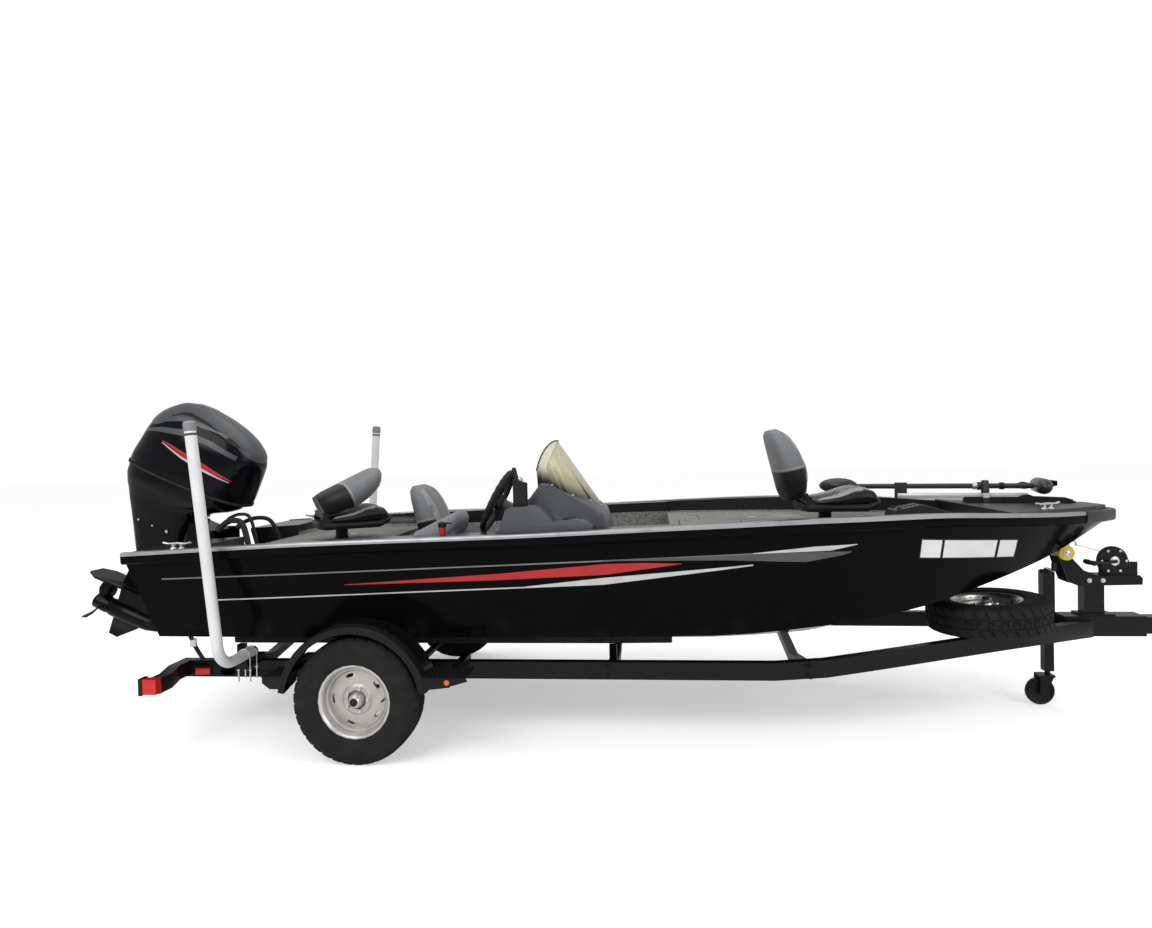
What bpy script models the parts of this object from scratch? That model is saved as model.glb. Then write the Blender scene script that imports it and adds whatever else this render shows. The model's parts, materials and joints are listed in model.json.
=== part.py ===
"""Bass boat on its single-axle trailer, as parked on its wheels and tongue jack.

Metres, +Z up, floor at z = 0. Stations run from the transom (0) to the bow (+X);
+Y is the port side. At the end everything moves back by MID_STATION, so that the
model's box is centred on the origin.
"""
import math

import bmesh
import bpy
import numpy as np
from mathutils import Matrix, Vector

# Driving dimensions: general
SEAT_GAP = 0.0003
MID_STATION = 2.597

# Driving dimensions: hull
WALL = 0.012
TRANSOM = 0.045
RAKE = 0.27
RAKE_END = 0.950
# station, keel z, chine y, chine z, sheer y, sheer z
HULL_TABLE = [
    (0.000, 0.360, 0.785, 0.563, 0.880, 0.983),
    (0.950, 0.360, 0.800, 0.563, 0.915, 1.028),
    (1.940, 0.360, 0.800, 0.565, 0.920, 1.055),
    (2.900, 0.368, 0.770, 0.567, 0.910, 1.088),
    (3.480, 0.402, 0.690, 0.598, 0.860, 1.104),
    (3.950, 0.525, 0.560, 0.655, 0.750, 1.108),
    (4.350, 0.672, 0.410, 0.750, 0.580, 1.090),
    (4.720, 0.795, 0.250, 0.860, 0.375, 1.072),
    (5.000, 0.936, 0.110, 0.975, 0.190, 1.066),
    (5.130, 1.020, 0.030, 1.030, 0.070, 1.064),
]
HULL_LENGTH = HULL_TABLE[-1][0]
STATIONS = [0.0, 0.48, 0.95, 1.45, 1.94, 2.42, 2.90, 3.20, 3.48, 3.72, 3.95, 4.15, 4.35, 4.54, 4.72, 4.87, 5.00, 5.13]
CHINE_FLAT = 0.93
CHINE_RISE = 0.002
KNUCKLE = 0.45
# station, how far the side's knuckle stands out of the straight flare
KNUCKLE_TABLE = [(0.0, 0.004), (2.2, 0.004), (3.0, 0.014), (5.13, 0.006)]
BOW_END = 4.94
RAIL_W = 0.022
RAIL_DROP = 0.034

# Driving dimensions: deck moulding
FLANGE = 0.022
BOW_CAP_TOP = 1.114
BOW_CAP = (4.430, 5.095)
STRIP_W = 0.100
FRONT_DECK_Z = 1.030
FRONT_DECK = (2.760, 4.420)
AFT_DECK_Z = 0.955
AFT_DECK = (0.330, 1.030)
COCKPIT = (1.030, 2.760)
COCKPIT_HALF = 0.760
COCKPIT_Z = 0.640
WELL = (0.045, 0.330)
WELL_HALF = 0.330
WELL_Z = 0.800
TRANSOM_TOP = 0.880
BENCH = (1.030, 1.640)
BENCH_HALF = 0.700
BENCH_Z = 0.800
LID_T = 0.018
LID_CLEAR = 0.006
LEDGE = 0.018
CUT_TOP = 1.350
# name, station from, station to, y from, y to, deck z, locker depth, hinge side
LIDS = [
    ("lid_rod_port", 2.950, 3.600, 0.320, 0.620, FRONT_DECK_Z, 0.200, "port"),
    ("lid_rod_starboard", 2.950, 3.600, -0.620, -0.320, FRONT_DECK_Z, 0.200, "starboard"),
    ("lid_centre", 2.820, 3.180, -0.230, 0.230, FRONT_DECK_Z, 0.260, "aft"),
    ("lid_aft_port", 0.440, 0.960, 0.300, 0.720, AFT_DECK_Z, 0.260, "port"),
    ("lid_aft_starboard", 0.440, 0.960, -0.720, -0.300, AFT_DECK_Z, 0.260, "starboard"),
]

# Driving dimensions: helm
DRIVER_Y = -COCKPIT_HALF + 0.260
CONSOLE_HALF = 0.240
CONSOLE_X = (2.020, 2.440)
WING_OUT = COCKPIT_HALF + 0.125
WHEEL_HUB = (1.845, DRIVER_Y, 1.212)
WHEEL_R = 0.165
WHEEL_GRIP_R = 0.014
COLUMN = Vector((0.892, 0.0, -0.452))
SCREEN_THICK = 0.005

# Driving dimensions: seats, from the post's axis and the underside of the seat pan
PAN = (-0.150, 0.262)
PAN_HALF = 0.200
PAN_H = 0.050
SEAT_HINGE = (-0.118, 0.075)
BACK_LEAN = -12
BACK_FOLD = 66
EAR_Y = 0.160
EAR_T = 0.008
PIN_R = 0.007
PIN_CLEAR = 0.0005
# station off the post, height of the top, half width of the cushion
CUSHION_ROWS = [(-0.090, 0.066, 0.180), (-0.060, 0.072, 0.198), (0.040, 0.092, 0.210), (0.120, 0.122, 0.213),
                (0.175, 0.132, 0.212), (0.226, 0.118, 0.200), (0.254, 0.078, 0.172)]
# height over the hinge, front, rear, half width of the back
BACK_ROWS = [(0.012, 0.000, -0.118, 0.150), (0.070, 0.018, -0.127, 0.192), (0.160, 0.032, -0.128, 0.212),
             (0.250, 0.018, -0.130, 0.208), (0.330, -0.006, -0.133, 0.188), (0.390, -0.038, -0.134, 0.150),
             (0.418, -0.070, -0.122, 0.095)]
# name, post station, y, deck z, post height, swivel in degrees, back folded
PEDESTALS = [
    ("bow", 3.640, 0.0, FRONT_DECK_Z, 0.068, 0, False),
    ("aft", 0.770, 0.0, AFT_DECK_Z, 0.080, 33, True),
]
# name, station, y, back folded
BENCH_SEATS = [("driver", 1.420, -COCKPIT_HALF + 0.320, True), ("passenger", 1.420, COCKPIT_HALF - 0.320, False)]

# Driving dimensions: outboard, measured upright from its tilt tube
PIVOT = (-0.055, 0.0, 1.010)
REST_TILT = math.radians(23.0)
STEER_X = -0.126
KING_R = 0.0295
TUBE_R = 0.014
PROP_R = 0.150
PROP_SHAFT_Z = -0.690
GEARCASE_X = -0.410
# height, front, rear, half width of the engine cover
COWL_ROWS = [(0.245, 0.148, -0.645, 0.185), (0.300, 0.152, -0.640, 0.195), (0.400, 0.152, -0.618, 0.197),
             (0.485, 0.150, -0.600, 0.192), (0.545, 0.132, -0.578, 0.180), (0.600, 0.080, -0.545, 0.160),
             (0.650, -0.005, -0.495, 0.125), (0.690, -0.130, -0.440, 0.080), (0.712, -0.250, -0.360, 0.030)]
# height, front, rear, half width of the leg, from the tray under the cover to the gearcase
LEG_ROWS = [(0.2447, 0.120, -0.640, 0.178), (0.190, 0.090, -0.640, 0.172), (0.120, -0.030, -0.625, 0.140),
            (0.040, -0.150, -0.590, 0.105), (-0.100, -0.165, -0.525, 0.072), (-0.300, -0.168, -0.425, 0.050),
            (-0.470, -0.165, -0.440, 0.036), (-0.560, -0.180, -0.455, 0.028)]

# Driving dimensions: bow motor
ARM_PIVOT = (4.800, 0.150, 1.150)
MOTOR_YAW = math.radians(-16.0)
ARM_LEN = 0.660
ARM_HALF = 0.028
ARM_H = 0.016
CHEEK_GAP = 0.006
CHEEK_T = 0.012
POD_CLEAR = 0.080
POD_R = 0.044
HEAD_DIST = 0.380
SHAFT_UP = 0.058
SHAFT_R = 0.0155

# Driving dimensions: trailer
RAIL_Y = 0.600
FRAME_W = 0.050
FRAME_H = 0.088
FRAME_Z = 0.349
TONGUE_RISE = 0.095
TONGUE_H = 0.110
TONGUE_END = 5.760
COUPLER_END = 6.060
AXLE_X = 1.235
AXLE_Z = 0.215
TYRE_R = 0.305
TYRE_W = 0.172
TYRE_GAP = 0.046
TRACK_Y = max(row[2] for row in HULL_TABLE) + TYRE_GAP + TYRE_W / 2
RIM_R = 0.165
WHEEL_STEPS = 24
SLOT_R = 0.118
HUB_BORE = 0.0248
FENDER_GAP = 0.061
FENDER_SHEET = 0.004
FENDER_DROP = 0.034
STEP_TOP = 0.432
STEP_PLATE = 0.004
STEP_ARMS = (0.830, 1.680)
BUNK_T = 0.038
BUNK_DROP = 0.0008
BUNK_Y = (0.290, 0.380)
POLE_X = 0.552
POLE_Y = 0.992
POLE_R = 0.027
POLE_BEND = 0.130
POLE_ARM = (0.392, 0.430)
# side, station of the pole's top, height of its top
POLES = [(-1, "guide_pole_starboard", 0.447, 1.651), (1, "guide_pole_port", 0.636, 1.678)]

# Driving dimensions: tongue gear
STAND_X = (5.015, 5.120)
CHANNEL_Z = (0.668, 0.722)
PLATE_Y = (0.0483, 0.0557)
ROLLER_X = 4.905
ROLLER_DROP = 0.034
ROLLER_R = 0.040
ROLLER_BORE = 0.0101
WINCH_HUB = (5.145, 0.805)
JACK_X = 4.825
JACK_Y = -0.020
JACK_HALF = 0.030
JACK_LEG_HALF = 0.025
JACK_TOP = 0.745
JACK_WHEEL_R = 0.076
JACK_TRAIL = 0.042
JACK_PLATE = 0.095
SPARE_CLEAR = 0.064
LAMP = (0.150, 0.235)

PARTS = None
MATERIALS = {}
# name, colour, roughness, metallic
FINISHES = [
    ("hull_gloss", (0.012, 0.013, 0.016), 0.12, 0.0),
    ("deck_grey", (0.10, 0.10, 0.11), 0.8, 0.0),
    ("moulded_grey", (0.07, 0.075, 0.085), 0.45, 0.0),
    ("aluminium", (0.72, 0.73, 0.75), 0.28, 1.0),
    ("frame_black", (0.02, 0.02, 0.022), 0.42, 0.3),
    ("vinyl_grey", (0.22, 0.23, 0.25), 0.55, 0.0),
    ("black_plastic", (0.025, 0.025, 0.027), 0.5, 0.0),
    ("cowl_black", (0.015, 0.016, 0.018), 0.15, 0.0),
    ("rubber", (0.02, 0.02, 0.02), 0.8, 0.0),
    ("wheel_silver", (0.62, 0.63, 0.64), 0.35, 0.9),
    ("steel", (0.55, 0.56, 0.57), 0.35, 1.0),
    ("smoked_clear", (0.25, 0.24, 0.16), 0.08, 0.0),
    ("white_plastic", (0.85, 0.86, 0.86), 0.4, 0.0),
    ("red_lens", (0.55, 0.02, 0.02), 0.25, 0.0),
    ("roller_yellow", (0.75, 0.58, 0.04), 0.5, 0.0),
    ("webbing", (0.70, 0.68, 0.62), 0.8, 0.0),
    ("pod_grey", (0.45, 0.46, 0.48), 0.35, 0.3),
]
def clear_scene():
    for item in list(bpy.data.objects):
        bpy.data.objects.remove(item, do_unlink=True)


def make_materials():
    for name, colour, roughness, metallic in FINISHES:
        material = bpy.data.materials.new(name)
        material.use_nodes = True
        shader = material.node_tree.nodes["Principled BSDF"]
        shader.inputs["Base Color"].default_value = (*colour, 1.0)
        shader.inputs["Roughness"].default_value = roughness
        shader.inputs["Metallic"].default_value = metallic
        MATERIALS[name] = material


def keep(name, mesh, finish):
    """Put a mesh into the boat's collection under its own name and finish."""
    obj = bpy.data.objects.new(name, mesh)
    PARTS.objects.link(obj)
    mesh.materials.clear()
    mesh.materials.append(MATERIALS[finish])
    return obj


def from_bmesh(name, bm, finish):
    mesh = bpy.data.meshes.new(name)
    bmesh.ops.recalc_face_normals(bm, faces=bm.faces)
    bm.to_mesh(mesh)
    bm.free()
    return keep(name, mesh, finish)


def box(name, low, high, finish="frame_black", bevel=0.0):
    bm = bmesh.new()
    bmesh.ops.create_cube(bm, size=1.0)
    size = [b - a for a, b in zip(low, high)]
    centre = [(a + b) / 2 for a, b in zip(low, high)]
    bmesh.ops.scale(bm, vec=size, verts=bm.verts)
    bmesh.ops.translate(bm, vec=centre, verts=bm.verts)
    if bevel:
        bmesh.ops.bevel(bm, geom=bm.edges[:], offset=bevel, segments=2, affect="EDGES", profile=0.5)
    return from_bmesh(name, bm, finish)


def rod(name, start, end, radius, finish="frame_black", sides=20, end_radius=None):
    """A cylinder or cone from one point to another."""
    start, end = Vector(start), Vector(end)
    along = end - start
    bm = bmesh.new()
    bmesh.ops.create_cone(bm, cap_ends=True, segments=sides, radius1=radius,
                          radius2=radius if end_radius is None else end_radius, depth=along.length)
    turn = Vector((0, 0, 1)).rotation_difference(along.normalized()).to_matrix().to_4x4()
    bmesh.ops.transform(bm, matrix=Matrix.Translation((start + end) / 2) @ turn, verts=bm.verts)
    return from_bmesh(name, bm, finish)


def ball(name, centre, radii, finish, rings=12):
    bm = bmesh.new()
    bmesh.ops.create_uvsphere(bm, u_segments=rings * 2, v_segments=rings, radius=1.0)
    bmesh.ops.scale(bm, vec=radii, verts=bm.verts)
    bmesh.ops.translate(bm, vec=centre, verts=bm.verts)
    return from_bmesh(name, bm, finish)


def loft(name, rings, finish):
    """Skin a list of closed rings of equal count, with both ends capped."""
    bm = bmesh.new()
    rows = [[bm.verts.new(point) for point in ring] for ring in rings]
    count = len(rows[0])
    for lower, upper in zip(rows, rows[1:]):
        for i in range(count):
            j = (i + 1) % count
            bm.faces.new((lower[i], lower[j], upper[j], upper[i]))
    bm.faces.new(rows[0])
    bm.faces.new(rows[-1])
    bmesh.ops.triangulate(bm, faces=bm.faces[:])
    return from_bmesh(name, bm, finish)


def prism(name, outline, low, high, axis="Z", finish="frame_black", bevel=0.0):
    """Extrude a flat outline: (x, y) along Z, (x, z) along Y or (y, z) along X."""
    place = {"Z": lambda u, v, w: (u, v, w), "Y": lambda u, v, w: (u, w, v),
             "X": lambda u, v, w: (w, u, v)}[axis]
    bm = bmesh.new()
    face = bm.faces.new([bm.verts.new(place(u, v, low)) for u, v in outline])
    shift = place(0, 0, high - low)
    grown = bmesh.ops.extrude_face_region(bm, geom=[face])
    moved = [item for item in grown["geom"] if isinstance(item, bmesh.types.BMVert)]
    bmesh.ops.translate(bm, vec=shift, verts=moved)
    if bevel:
        bmesh.ops.bevel(bm, geom=bm.edges[:], offset=bevel, segments=2, affect="EDGES", profile=0.5)
    return from_bmesh(name, bm, finish)


def tube(name, points, radius, finish, resolution=2):
    """A round tube along a chain of points, as a mesh with its caps welded."""
    curve = bpy.data.curves.new(name, "CURVE")
    curve.dimensions = "3D"
    curve.bevel_depth = radius
    curve.bevel_resolution = resolution
    curve.use_fill_caps = True
    spline = curve.splines.new("POLY")
    spline.points.add(len(points) - 1)
    for target, point in zip(spline.points, points):
        target.co = (*point, 1.0)
    source = bpy.data.objects.new(name, curve)
    PARTS.objects.link(source)
    graph = bpy.context.evaluated_depsgraph_get()
    mesh = bpy.data.meshes.new_from_object(source.evaluated_get(graph))
    bpy.data.objects.remove(source, do_unlink=True)
    bm = bmesh.new()
    bm.from_mesh(mesh)
    bmesh.ops.remove_doubles(bm, verts=bm.verts, dist=0.00002)
    return from_bmesh(name, bm, finish)


def ribbon(name, path, width, height, finish="frame_black"):
    """A rectangular tube: width across the path in plan, height straight up."""
    path = [Vector(p) for p in path]
    rings = []
    for i, point in enumerate(path):
        before = path[max(i - 1, 0)]
        after = path[min(i + 1, len(path) - 1)]
        run = (after - before)
        side = Vector((-run.y, run.x, 0.0)).normalized() * (width / 2)
        up = Vector((0, 0, height / 2))
        rings.append([point - side - up, point + side - up, point + side + up, point - side + up])
    return loft(name, rings, finish)


def turned(name, profile, origin, axis, finish, steps=32):
    """Turn an open (radius, height) profile about an axis; ends close on the axis or as a ring."""
    bm = bmesh.new()
    closed = profile[0][0] > 0 or profile[-1][0] > 0
    angles = [2 * math.pi * k / steps for k in range(steps)]
    rows = []
    for radius, height in profile:
        if radius == 0:
            rows.append([bm.verts.new((0, 0, height))])
        else:
            rows.append([bm.verts.new((radius * math.cos(a), radius * math.sin(a), height)) for a in angles])
    pairs = list(zip(rows, rows[1:]))
    if closed:
        pairs.append((rows[-1], rows[0]))
    for lower, upper in pairs:
        for i in range(steps):
            j = (i + 1) % steps
            corners = [lower[i % len(lower)], lower[j % len(lower)], upper[j % len(upper)], upper[i % len(upper)]]
            face = list(dict.fromkeys(corners))
            if len(face) > 2:
                bm.faces.new(face)
    turn = Vector((0, 0, 1)).rotation_difference(Vector(axis).normalized()).to_matrix().to_4x4()
    bmesh.ops.transform(bm, matrix=Matrix.Translation(origin) @ turn, verts=bm.verts)
    return from_bmesh(name, bm, finish)


def combine(target, others, operation="UNION"):
    """Boolean the others into the target and bake the result."""
    for other in others:
        step = target.modifiers.new("combine", "BOOLEAN")
        step.operation = operation
        step.solver = "EXACT"
        step.object = other
    graph = bpy.context.evaluated_depsgraph_get()
    graph.update()
    baked = bpy.data.meshes.new_from_object(target.evaluated_get(graph))
    target.modifiers.clear()
    target.data = baked
    for other in others:
        bpy.data.objects.remove(other, do_unlink=True)
    return target


def cut(target, cutters):
    return combine(target, cutters, "DIFFERENCE")


def turn_about(objects, point, axis, angle):
    """Turn meshes about a line through a point."""
    matrix = Matrix.Translation(point) @ Matrix.Rotation(angle, 4, axis) @ Matrix.Translation(-Vector(point))
    for obj in objects:
        obj.data.transform(matrix)


def hang_on(name, point, objects):
    """Parent pieces to an empty that stands on their joint's axis."""
    empty = bpy.data.objects.new(name, None)
    empty.location = point
    PARTS.objects.link(empty)
    for obj in objects:
        obj.parent = empty
        obj.matrix_parent_inverse = Matrix.Translation(-Vector(point))
    return empty



def aimed(origin, axis):
    """Matrix that takes +Z to an axis through a point."""
    turn = Vector((0, 0, 1)).rotation_difference(Vector(axis).normalized()).to_matrix().to_4x4()
    return Matrix.Translation(origin) @ turn


def copy_of(obj, name):
    """A second mesh object with its own data, to cut with."""
    return keep(name, obj.data.copy(), obj.data.materials[0].name)


def egg_ring(centre, reach, steps, power, place):
    """Closed superellipse: centre and reach along two directions, set out by a place function."""
    ring = []
    for k in range(steps):
        a = 2 * math.pi * k / steps
        c, s = math.cos(a), math.sin(a)
        u = centre[0] + reach[0] * math.copysign(abs(c) ** power, c)
        v = centre[1] + reach[1] * math.copysign(abs(s) ** power, s)
        ring.append(place(u, v))
    return ring


def hull_at(station):
    """Keel z, chine y, chine z, sheer y and sheer z at a station, on smooth monotone curves."""
    table = np.array(HULL_TABLE)
    xs, values = table[:, 0], table[:, 1:]
    slopes = np.diff(values, axis=0) / np.diff(xs)[:, None]
    before, after = slopes[:-1], slopes[1:]
    steady = before * after > 0
    tangents = np.zeros_like(values)
    tangents[0], tangents[-1] = slopes[0], slopes[-1]
    tangents[1:-1] = np.where(steady, 2 * before * after / np.where(steady, before + after, 1.0), 0.0)
    i = int(np.clip(np.searchsorted(xs, station) - 1, 0, len(xs) - 2))
    width = xs[i + 1] - xs[i]
    t = (station - xs[i]) / width
    row = ((1 + 2 * t) * (1 - t) ** 2 * values[i] + t * (1 - t) ** 2 * width * tangents[i]
           + t * t * (3 - 2 * t) * values[i + 1] + t * t * (t - 1) * width * tangents[i + 1])
    return [float(value) for value in row]


def bottom_at(station, y):
    """Height of the planing bottom at a station and a distance off the centre."""
    keel, chine_y, chine_z, _, _ = hull_at(station)
    return keel + (chine_z - CHINE_RISE - keel) * min(abs(y) / (CHINE_FLAT * chine_y), 1.0)


def flange_top(x):
    """Height of the deck flange, which runs straight between the hull's sections."""
    return float(np.interp(x, STATIONS, [hull_at(s)[4] + FLANGE for s in STATIONS]))


def transom_x(z):
    """Outer face of the raked transom at a height."""
    return RAKE * (hull_at(0.0)[4] - z)


def hull_ring(station, inset=0.0, top=0.0):
    """Section of the hull: keel, chine flat, chine, knuckle and sheer, drawn forward by the rake."""
    keel, chine_y, chine_z, sheer_y, sheer_z = hull_at(station)
    stand = float(np.interp(station, *zip(*KNUCKLE_TABLE)))
    knuckle = (chine_y + KNUCKLE * (sheer_y - chine_y) + stand, chine_z + KNUCKLE * (sheer_z - chine_z))
    half = [(CHINE_FLAT * chine_y, chine_z - CHINE_RISE + inset), (chine_y, chine_z + inset), knuckle, (sheer_y, sheer_z)]
    if top:
        half.append((sheer_y, sheer_z + top))
    half = [(max(y - inset, 0.004 + 0.002 * i), z) for i, (y, z) in enumerate(half)]
    section = [(0.0, keel + inset)] + [(-y, z) for y, z in half] + [(y, z) for y, z in reversed(half)]
    draw = RAKE * max(0.0, 1.0 - station / RAKE_END)
    return [(station + draw * (sheer_z - z), y, z) for y, z in section]


def build_hull():
    outer = loft("hull_shell", [hull_ring(s) for s in STATIONS], "hull_gloss")
    inner_stations = [TRANSOM] + [s for s in STATIONS[1:] if s < BOW_END] + [BOW_END]
    inner = loft("hollow", [hull_ring(s, WALL, 0.3) for s in inner_stations], "hull_gloss")
    notch = box("notch", (-0.1, -WELL_HALF, TRANSOM_TOP), (0.2, WELL_HALF, CUT_TOP))
    return cut(outer, [inner, notch])


def build_gunwale_rail():
    """Extruded rail round the sheer: both sides and the bow in one run."""
    side = [(s, hull_at(s)[3], hull_at(s)[4]) for s in STATIONS]
    run = [(x, -y, z) for x, y, z in side] + [(x, y, z) for x, y, z in reversed(side)]
    rings = []
    for i, point in enumerate(run):
        before, after = run[max(i - 1, 0)], run[min(i + 1, len(run) - 1)]
        along = Vector((after[0] - before[0], after[1] - before[1], 0)).normalized()
        out = Vector((along.y, -along.x, 0))
        base = Vector(point) + out * 2 * SEAT_GAP
        tip = Vector(point) + out * RAIL_W
        low, high = Vector((0, 0, -RAIL_DROP)), Vector((0, 0, FLANGE + 0.004))
        rings.append([base + low, tip + low * 0.6, tip + high * 0.5, base + high])
    return loft("gunwale_rail", rings, "aluminium")


def strip_outline(x_from, x_to, inset):
    """Plan outline that follows the sheer at an inset, between two stations."""
    xs = [x_from] + [s for s in STATIONS if x_from < s < x_to] + [x_to]
    half = [(x, max(hull_at(x)[3] - inset, 0.02)) for x in xs]
    return [(x, -y) for x, y in half] + [(x, y) for x, y in reversed(half)]


def rect(x0, x1, y0, y1):
    return [(x0, y0), (x1, y0), (x1, y1), (x0, y1)]


def grown(outline, by):
    """Move each corner of a plan outline away from its middle."""
    middle = np.mean(np.array(outline), axis=0)
    return [(x + math.copysign(by, x - middle[0]), y + math.copysign(by, y - middle[1])) for x, y in outline]


def build_deck():
    """Deck moulding: gunwale flange, two casting decks, cockpit, well and lockers."""
    rings = []
    for s in [0.001] + STATIONS[1:-1]:
        _, _, _, y, z = hull_at(s)
        low, high = z + SEAT_GAP, z + FLANGE
        rings.append([(s, -y, low), (s, y, low), (s, y, high), (s, -y, high)])
    deck = loft("deck_moulding", rings, "deck_grey")
    clear = WALL + 0.004
    inside = [TRANSOM + 0.004] + [s for s in STATIONS[1:] if s < 4.8] + [4.8]
    bounds = loft("bounds", [hull_ring(s, clear, FLANGE / 2) for s in inside], "deck_grey")
    pockets = [
        (strip_outline(*FRONT_DECK, STRIP_W), FRONT_DECK_Z),
        (strip_outline(*AFT_DECK, STRIP_W), AFT_DECK_Z),
        (rect(*COCKPIT, -COCKPIT_HALF, COCKPIT_HALF), COCKPIT_Z),
        (rect(*WELL, -WELL_HALF, WELL_HALF), WELL_Z),
    ]
    for _, x0, x1, y0, y1, deck_z, depth, _ in LIDS:
        pockets.append((rect(x0 + LEDGE, x1 - LEDGE, y0 + LEDGE, y1 - LEDGE), deck_z - depth))
    pieces = [prism("liner", grown(outline, WALL), floor - WALL, 1.30, "Z", "deck_grey") for outline, floor in pockets]
    for _, x0, x1, y0, y1, deck_z, _, _ in LIDS:
        frame = grown(rect(x0, x1, y0, y1), WALL + LID_CLEAR)
        pieces.append(prism("ledge", frame, deck_z - LID_T - WALL, deck_z, "Z", "deck_grey"))
    liner = combine(pieces[0], pieces[1:])
    liner = combine(liner, [bounds], "INTERSECT")
    deck = combine(deck, [liner])
    cutters = [prism("pocket", outline, floor, CUT_TOP, "Z") for outline, floor in pockets]
    for _, x0, x1, y0, y1, deck_z, _, _ in LIDS:
        hole = grown(rect(x0, x1, y0, y1), LID_CLEAR)
        cutters.append(prism("rebate", hole, deck_z - LID_T - SEAT_GAP, CUT_TOP + 0.01, "Z"))
    cutters.append(box("notch", (-0.1, -WELL_HALF, TRANSOM_TOP), (WELL[0] + 0.02, WELL_HALF, CUT_TOP)))
    deck = cut(deck, cutters)
    bench = box("bench", (BENCH[0] - WALL / 2, -BENCH_HALF, COCKPIT_Z - WALL / 2), (BENCH[1], BENCH_HALF, BENCH_Z))
    return combine(deck, [bench])


def build_lids():
    for name, x0, x1, y0, y1, deck_z, _, side in LIDS:
        lid = box(name, (x0, y0, deck_z - LID_T), (x1, y1, deck_z), "deck_grey")
        hinge = {"port": (x0, y1, deck_z), "starboard": (x0, y0, deck_z), "aft": (x0, 0, deck_z)}[side]
        hang_on("axis_" + name, hinge, [lid])


def build_bow_cap():
    """Moulded cap over the bow, on the deck flange."""
    rings = []
    for s in [BOW_CAP[0]] + [s for s in STATIONS if BOW_CAP[0] < s < BOW_CAP[1]] + [BOW_CAP[1]]:
        y = max(hull_at(s)[3] - 0.006, 0.03)
        low = flange_top(s) + SEAT_GAP
        rings.append([(s, -y, low), (s, y, low), (s, y * 0.96, BOW_CAP_TOP), (s, -y * 0.96, BOW_CAP_TOP)])
    return loft("bow_cap", rings, "moulded_grey")


# Console sections, station and height: at its sides, and over the driver's centre line
CONSOLE_SIDE = [(2.020, 0.0), (1.975, 1.100), (2.035, 1.215), (2.110, 1.312), (2.150, 1.312), (2.225, 1.270),
                (2.415, 1.160), (2.445, 1.070), (2.440, 0.0)]
CONSOLE_MID = [(2.020, 0.0), (1.965, 1.100), (2.030, 1.225), (2.120, 1.335), (2.190, 1.350), (2.260, 1.310),
               (2.430, 1.165), (2.455, 1.070), (2.440, 0.0)]
CONSOLE_ROUND = 0.012
# Top of the side panel between console and gunwale: dash end, armrest, step down to the cup shelf
WING = [(1.935, 1.120), (1.958, 1.195), (2.000, 1.207), (2.090, 1.210), (2.130, 1.195), (2.160, 1.165),
        (2.185, 1.135), (2.300, 1.145), (2.350, 1.130), (2.375, 1.110)]
WING_AFT = 1.916


def console_section(outline, y, shrink=0.0):
    """One section of the console on the cockpit floor, drawn in where the sides are rounded."""
    floor = COCKPIT_Z + SEAT_GAP
    middle = sum(CONSOLE_X) / 2
    ring = []
    for x, z in outline:
        x += math.copysign(shrink, middle - x)
        ring.append((x, y, floor if z == 0.0 else z - shrink))
    return ring


def build_console():
    inner, outer = DRIVER_Y + CONSOLE_HALF, DRIVER_Y - CONSOLE_HALF
    edge = CONSOLE_ROUND
    body = loft("console", [
        console_section(CONSOLE_SIDE, outer, edge * 0.7), console_section(CONSOLE_SIDE, outer + edge),
        console_section(CONSOLE_MID, DRIVER_Y), console_section(CONSOLE_SIDE, inner - edge),
        console_section(CONSOLE_SIDE, inner, edge * 0.7)], "moulded_grey")
    under = [x for x in STATIONS if WING_AFT < x < WING[-1][0]]
    foot = [(x, flange_top(x) + 2 * SEAT_GAP) for x in [WING[-1][0]] + under[::-1] + [WING_AFT]]
    wing = prism("wing", foot + WING, -WING_OUT, outer + 0.02, "Y", "moulded_grey")
    column = rod("column", Vector(WHEEL_HUB) + COLUMN * 0.0304, Vector(WHEEL_HUB) + COLUMN * 0.19, 0.028)
    body = combine(body, [wing, column])
    wall = 0.030
    hollow = box("foot", (CONSOLE_X[0] - 0.12, outer + wall, COCKPIT_Z + 0.02),
                 (CONSOLE_X[1] - 0.10, inner - wall, 1.02))
    return cut(body, [hollow])


def hood_z(x, y):
    """Height of the console's hood, between its side and middle sections."""
    share = min(abs(y - DRIVER_Y) / (CONSOLE_HALF - CONSOLE_ROUND), 1.0)
    side, middle = [float(np.interp(x, *zip(*outline[1:-1]))) for outline in (CONSOLE_SIDE, CONSOLE_MID)]
    return middle + (side - middle) * share


def build_windshield(console):
    """Wrap-round screen: a curved wall that leans in, trimmed to the hood it stands on."""
    rings = []
    sweep, steps = math.radians(115), 22
    for k in range(steps + 1):
        a = sweep * (2 * k / steps - 1)
        c, s = math.cos(a), math.sin(a)
        x, y = 2.190 + 0.225 * c, DRIVER_Y + 0.232 * s
        top_x, top_y = 2.110 + 0.060 * c, DRIVER_Y + 0.200 * s
        top = 1.525 - 0.150 * abs(a / sweep) ** 2.5
        low = hood_z(x, y) - 0.014
        in_x, in_y = SCREEN_THICK * c, SCREEN_THICK * s
        rings.append([(x, y, low), (top_x, top_y, top), (top_x - in_x, top_y - in_y, top), (x - in_x, y - in_y, low)])
    screen = loft("windshield", rings, "smoked_clear")
    trim = copy_of(console, "trim")
    trim.data.transform(Matrix.Translation((0, 0, SEAT_GAP)))
    return cut(screen, [trim])


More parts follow.
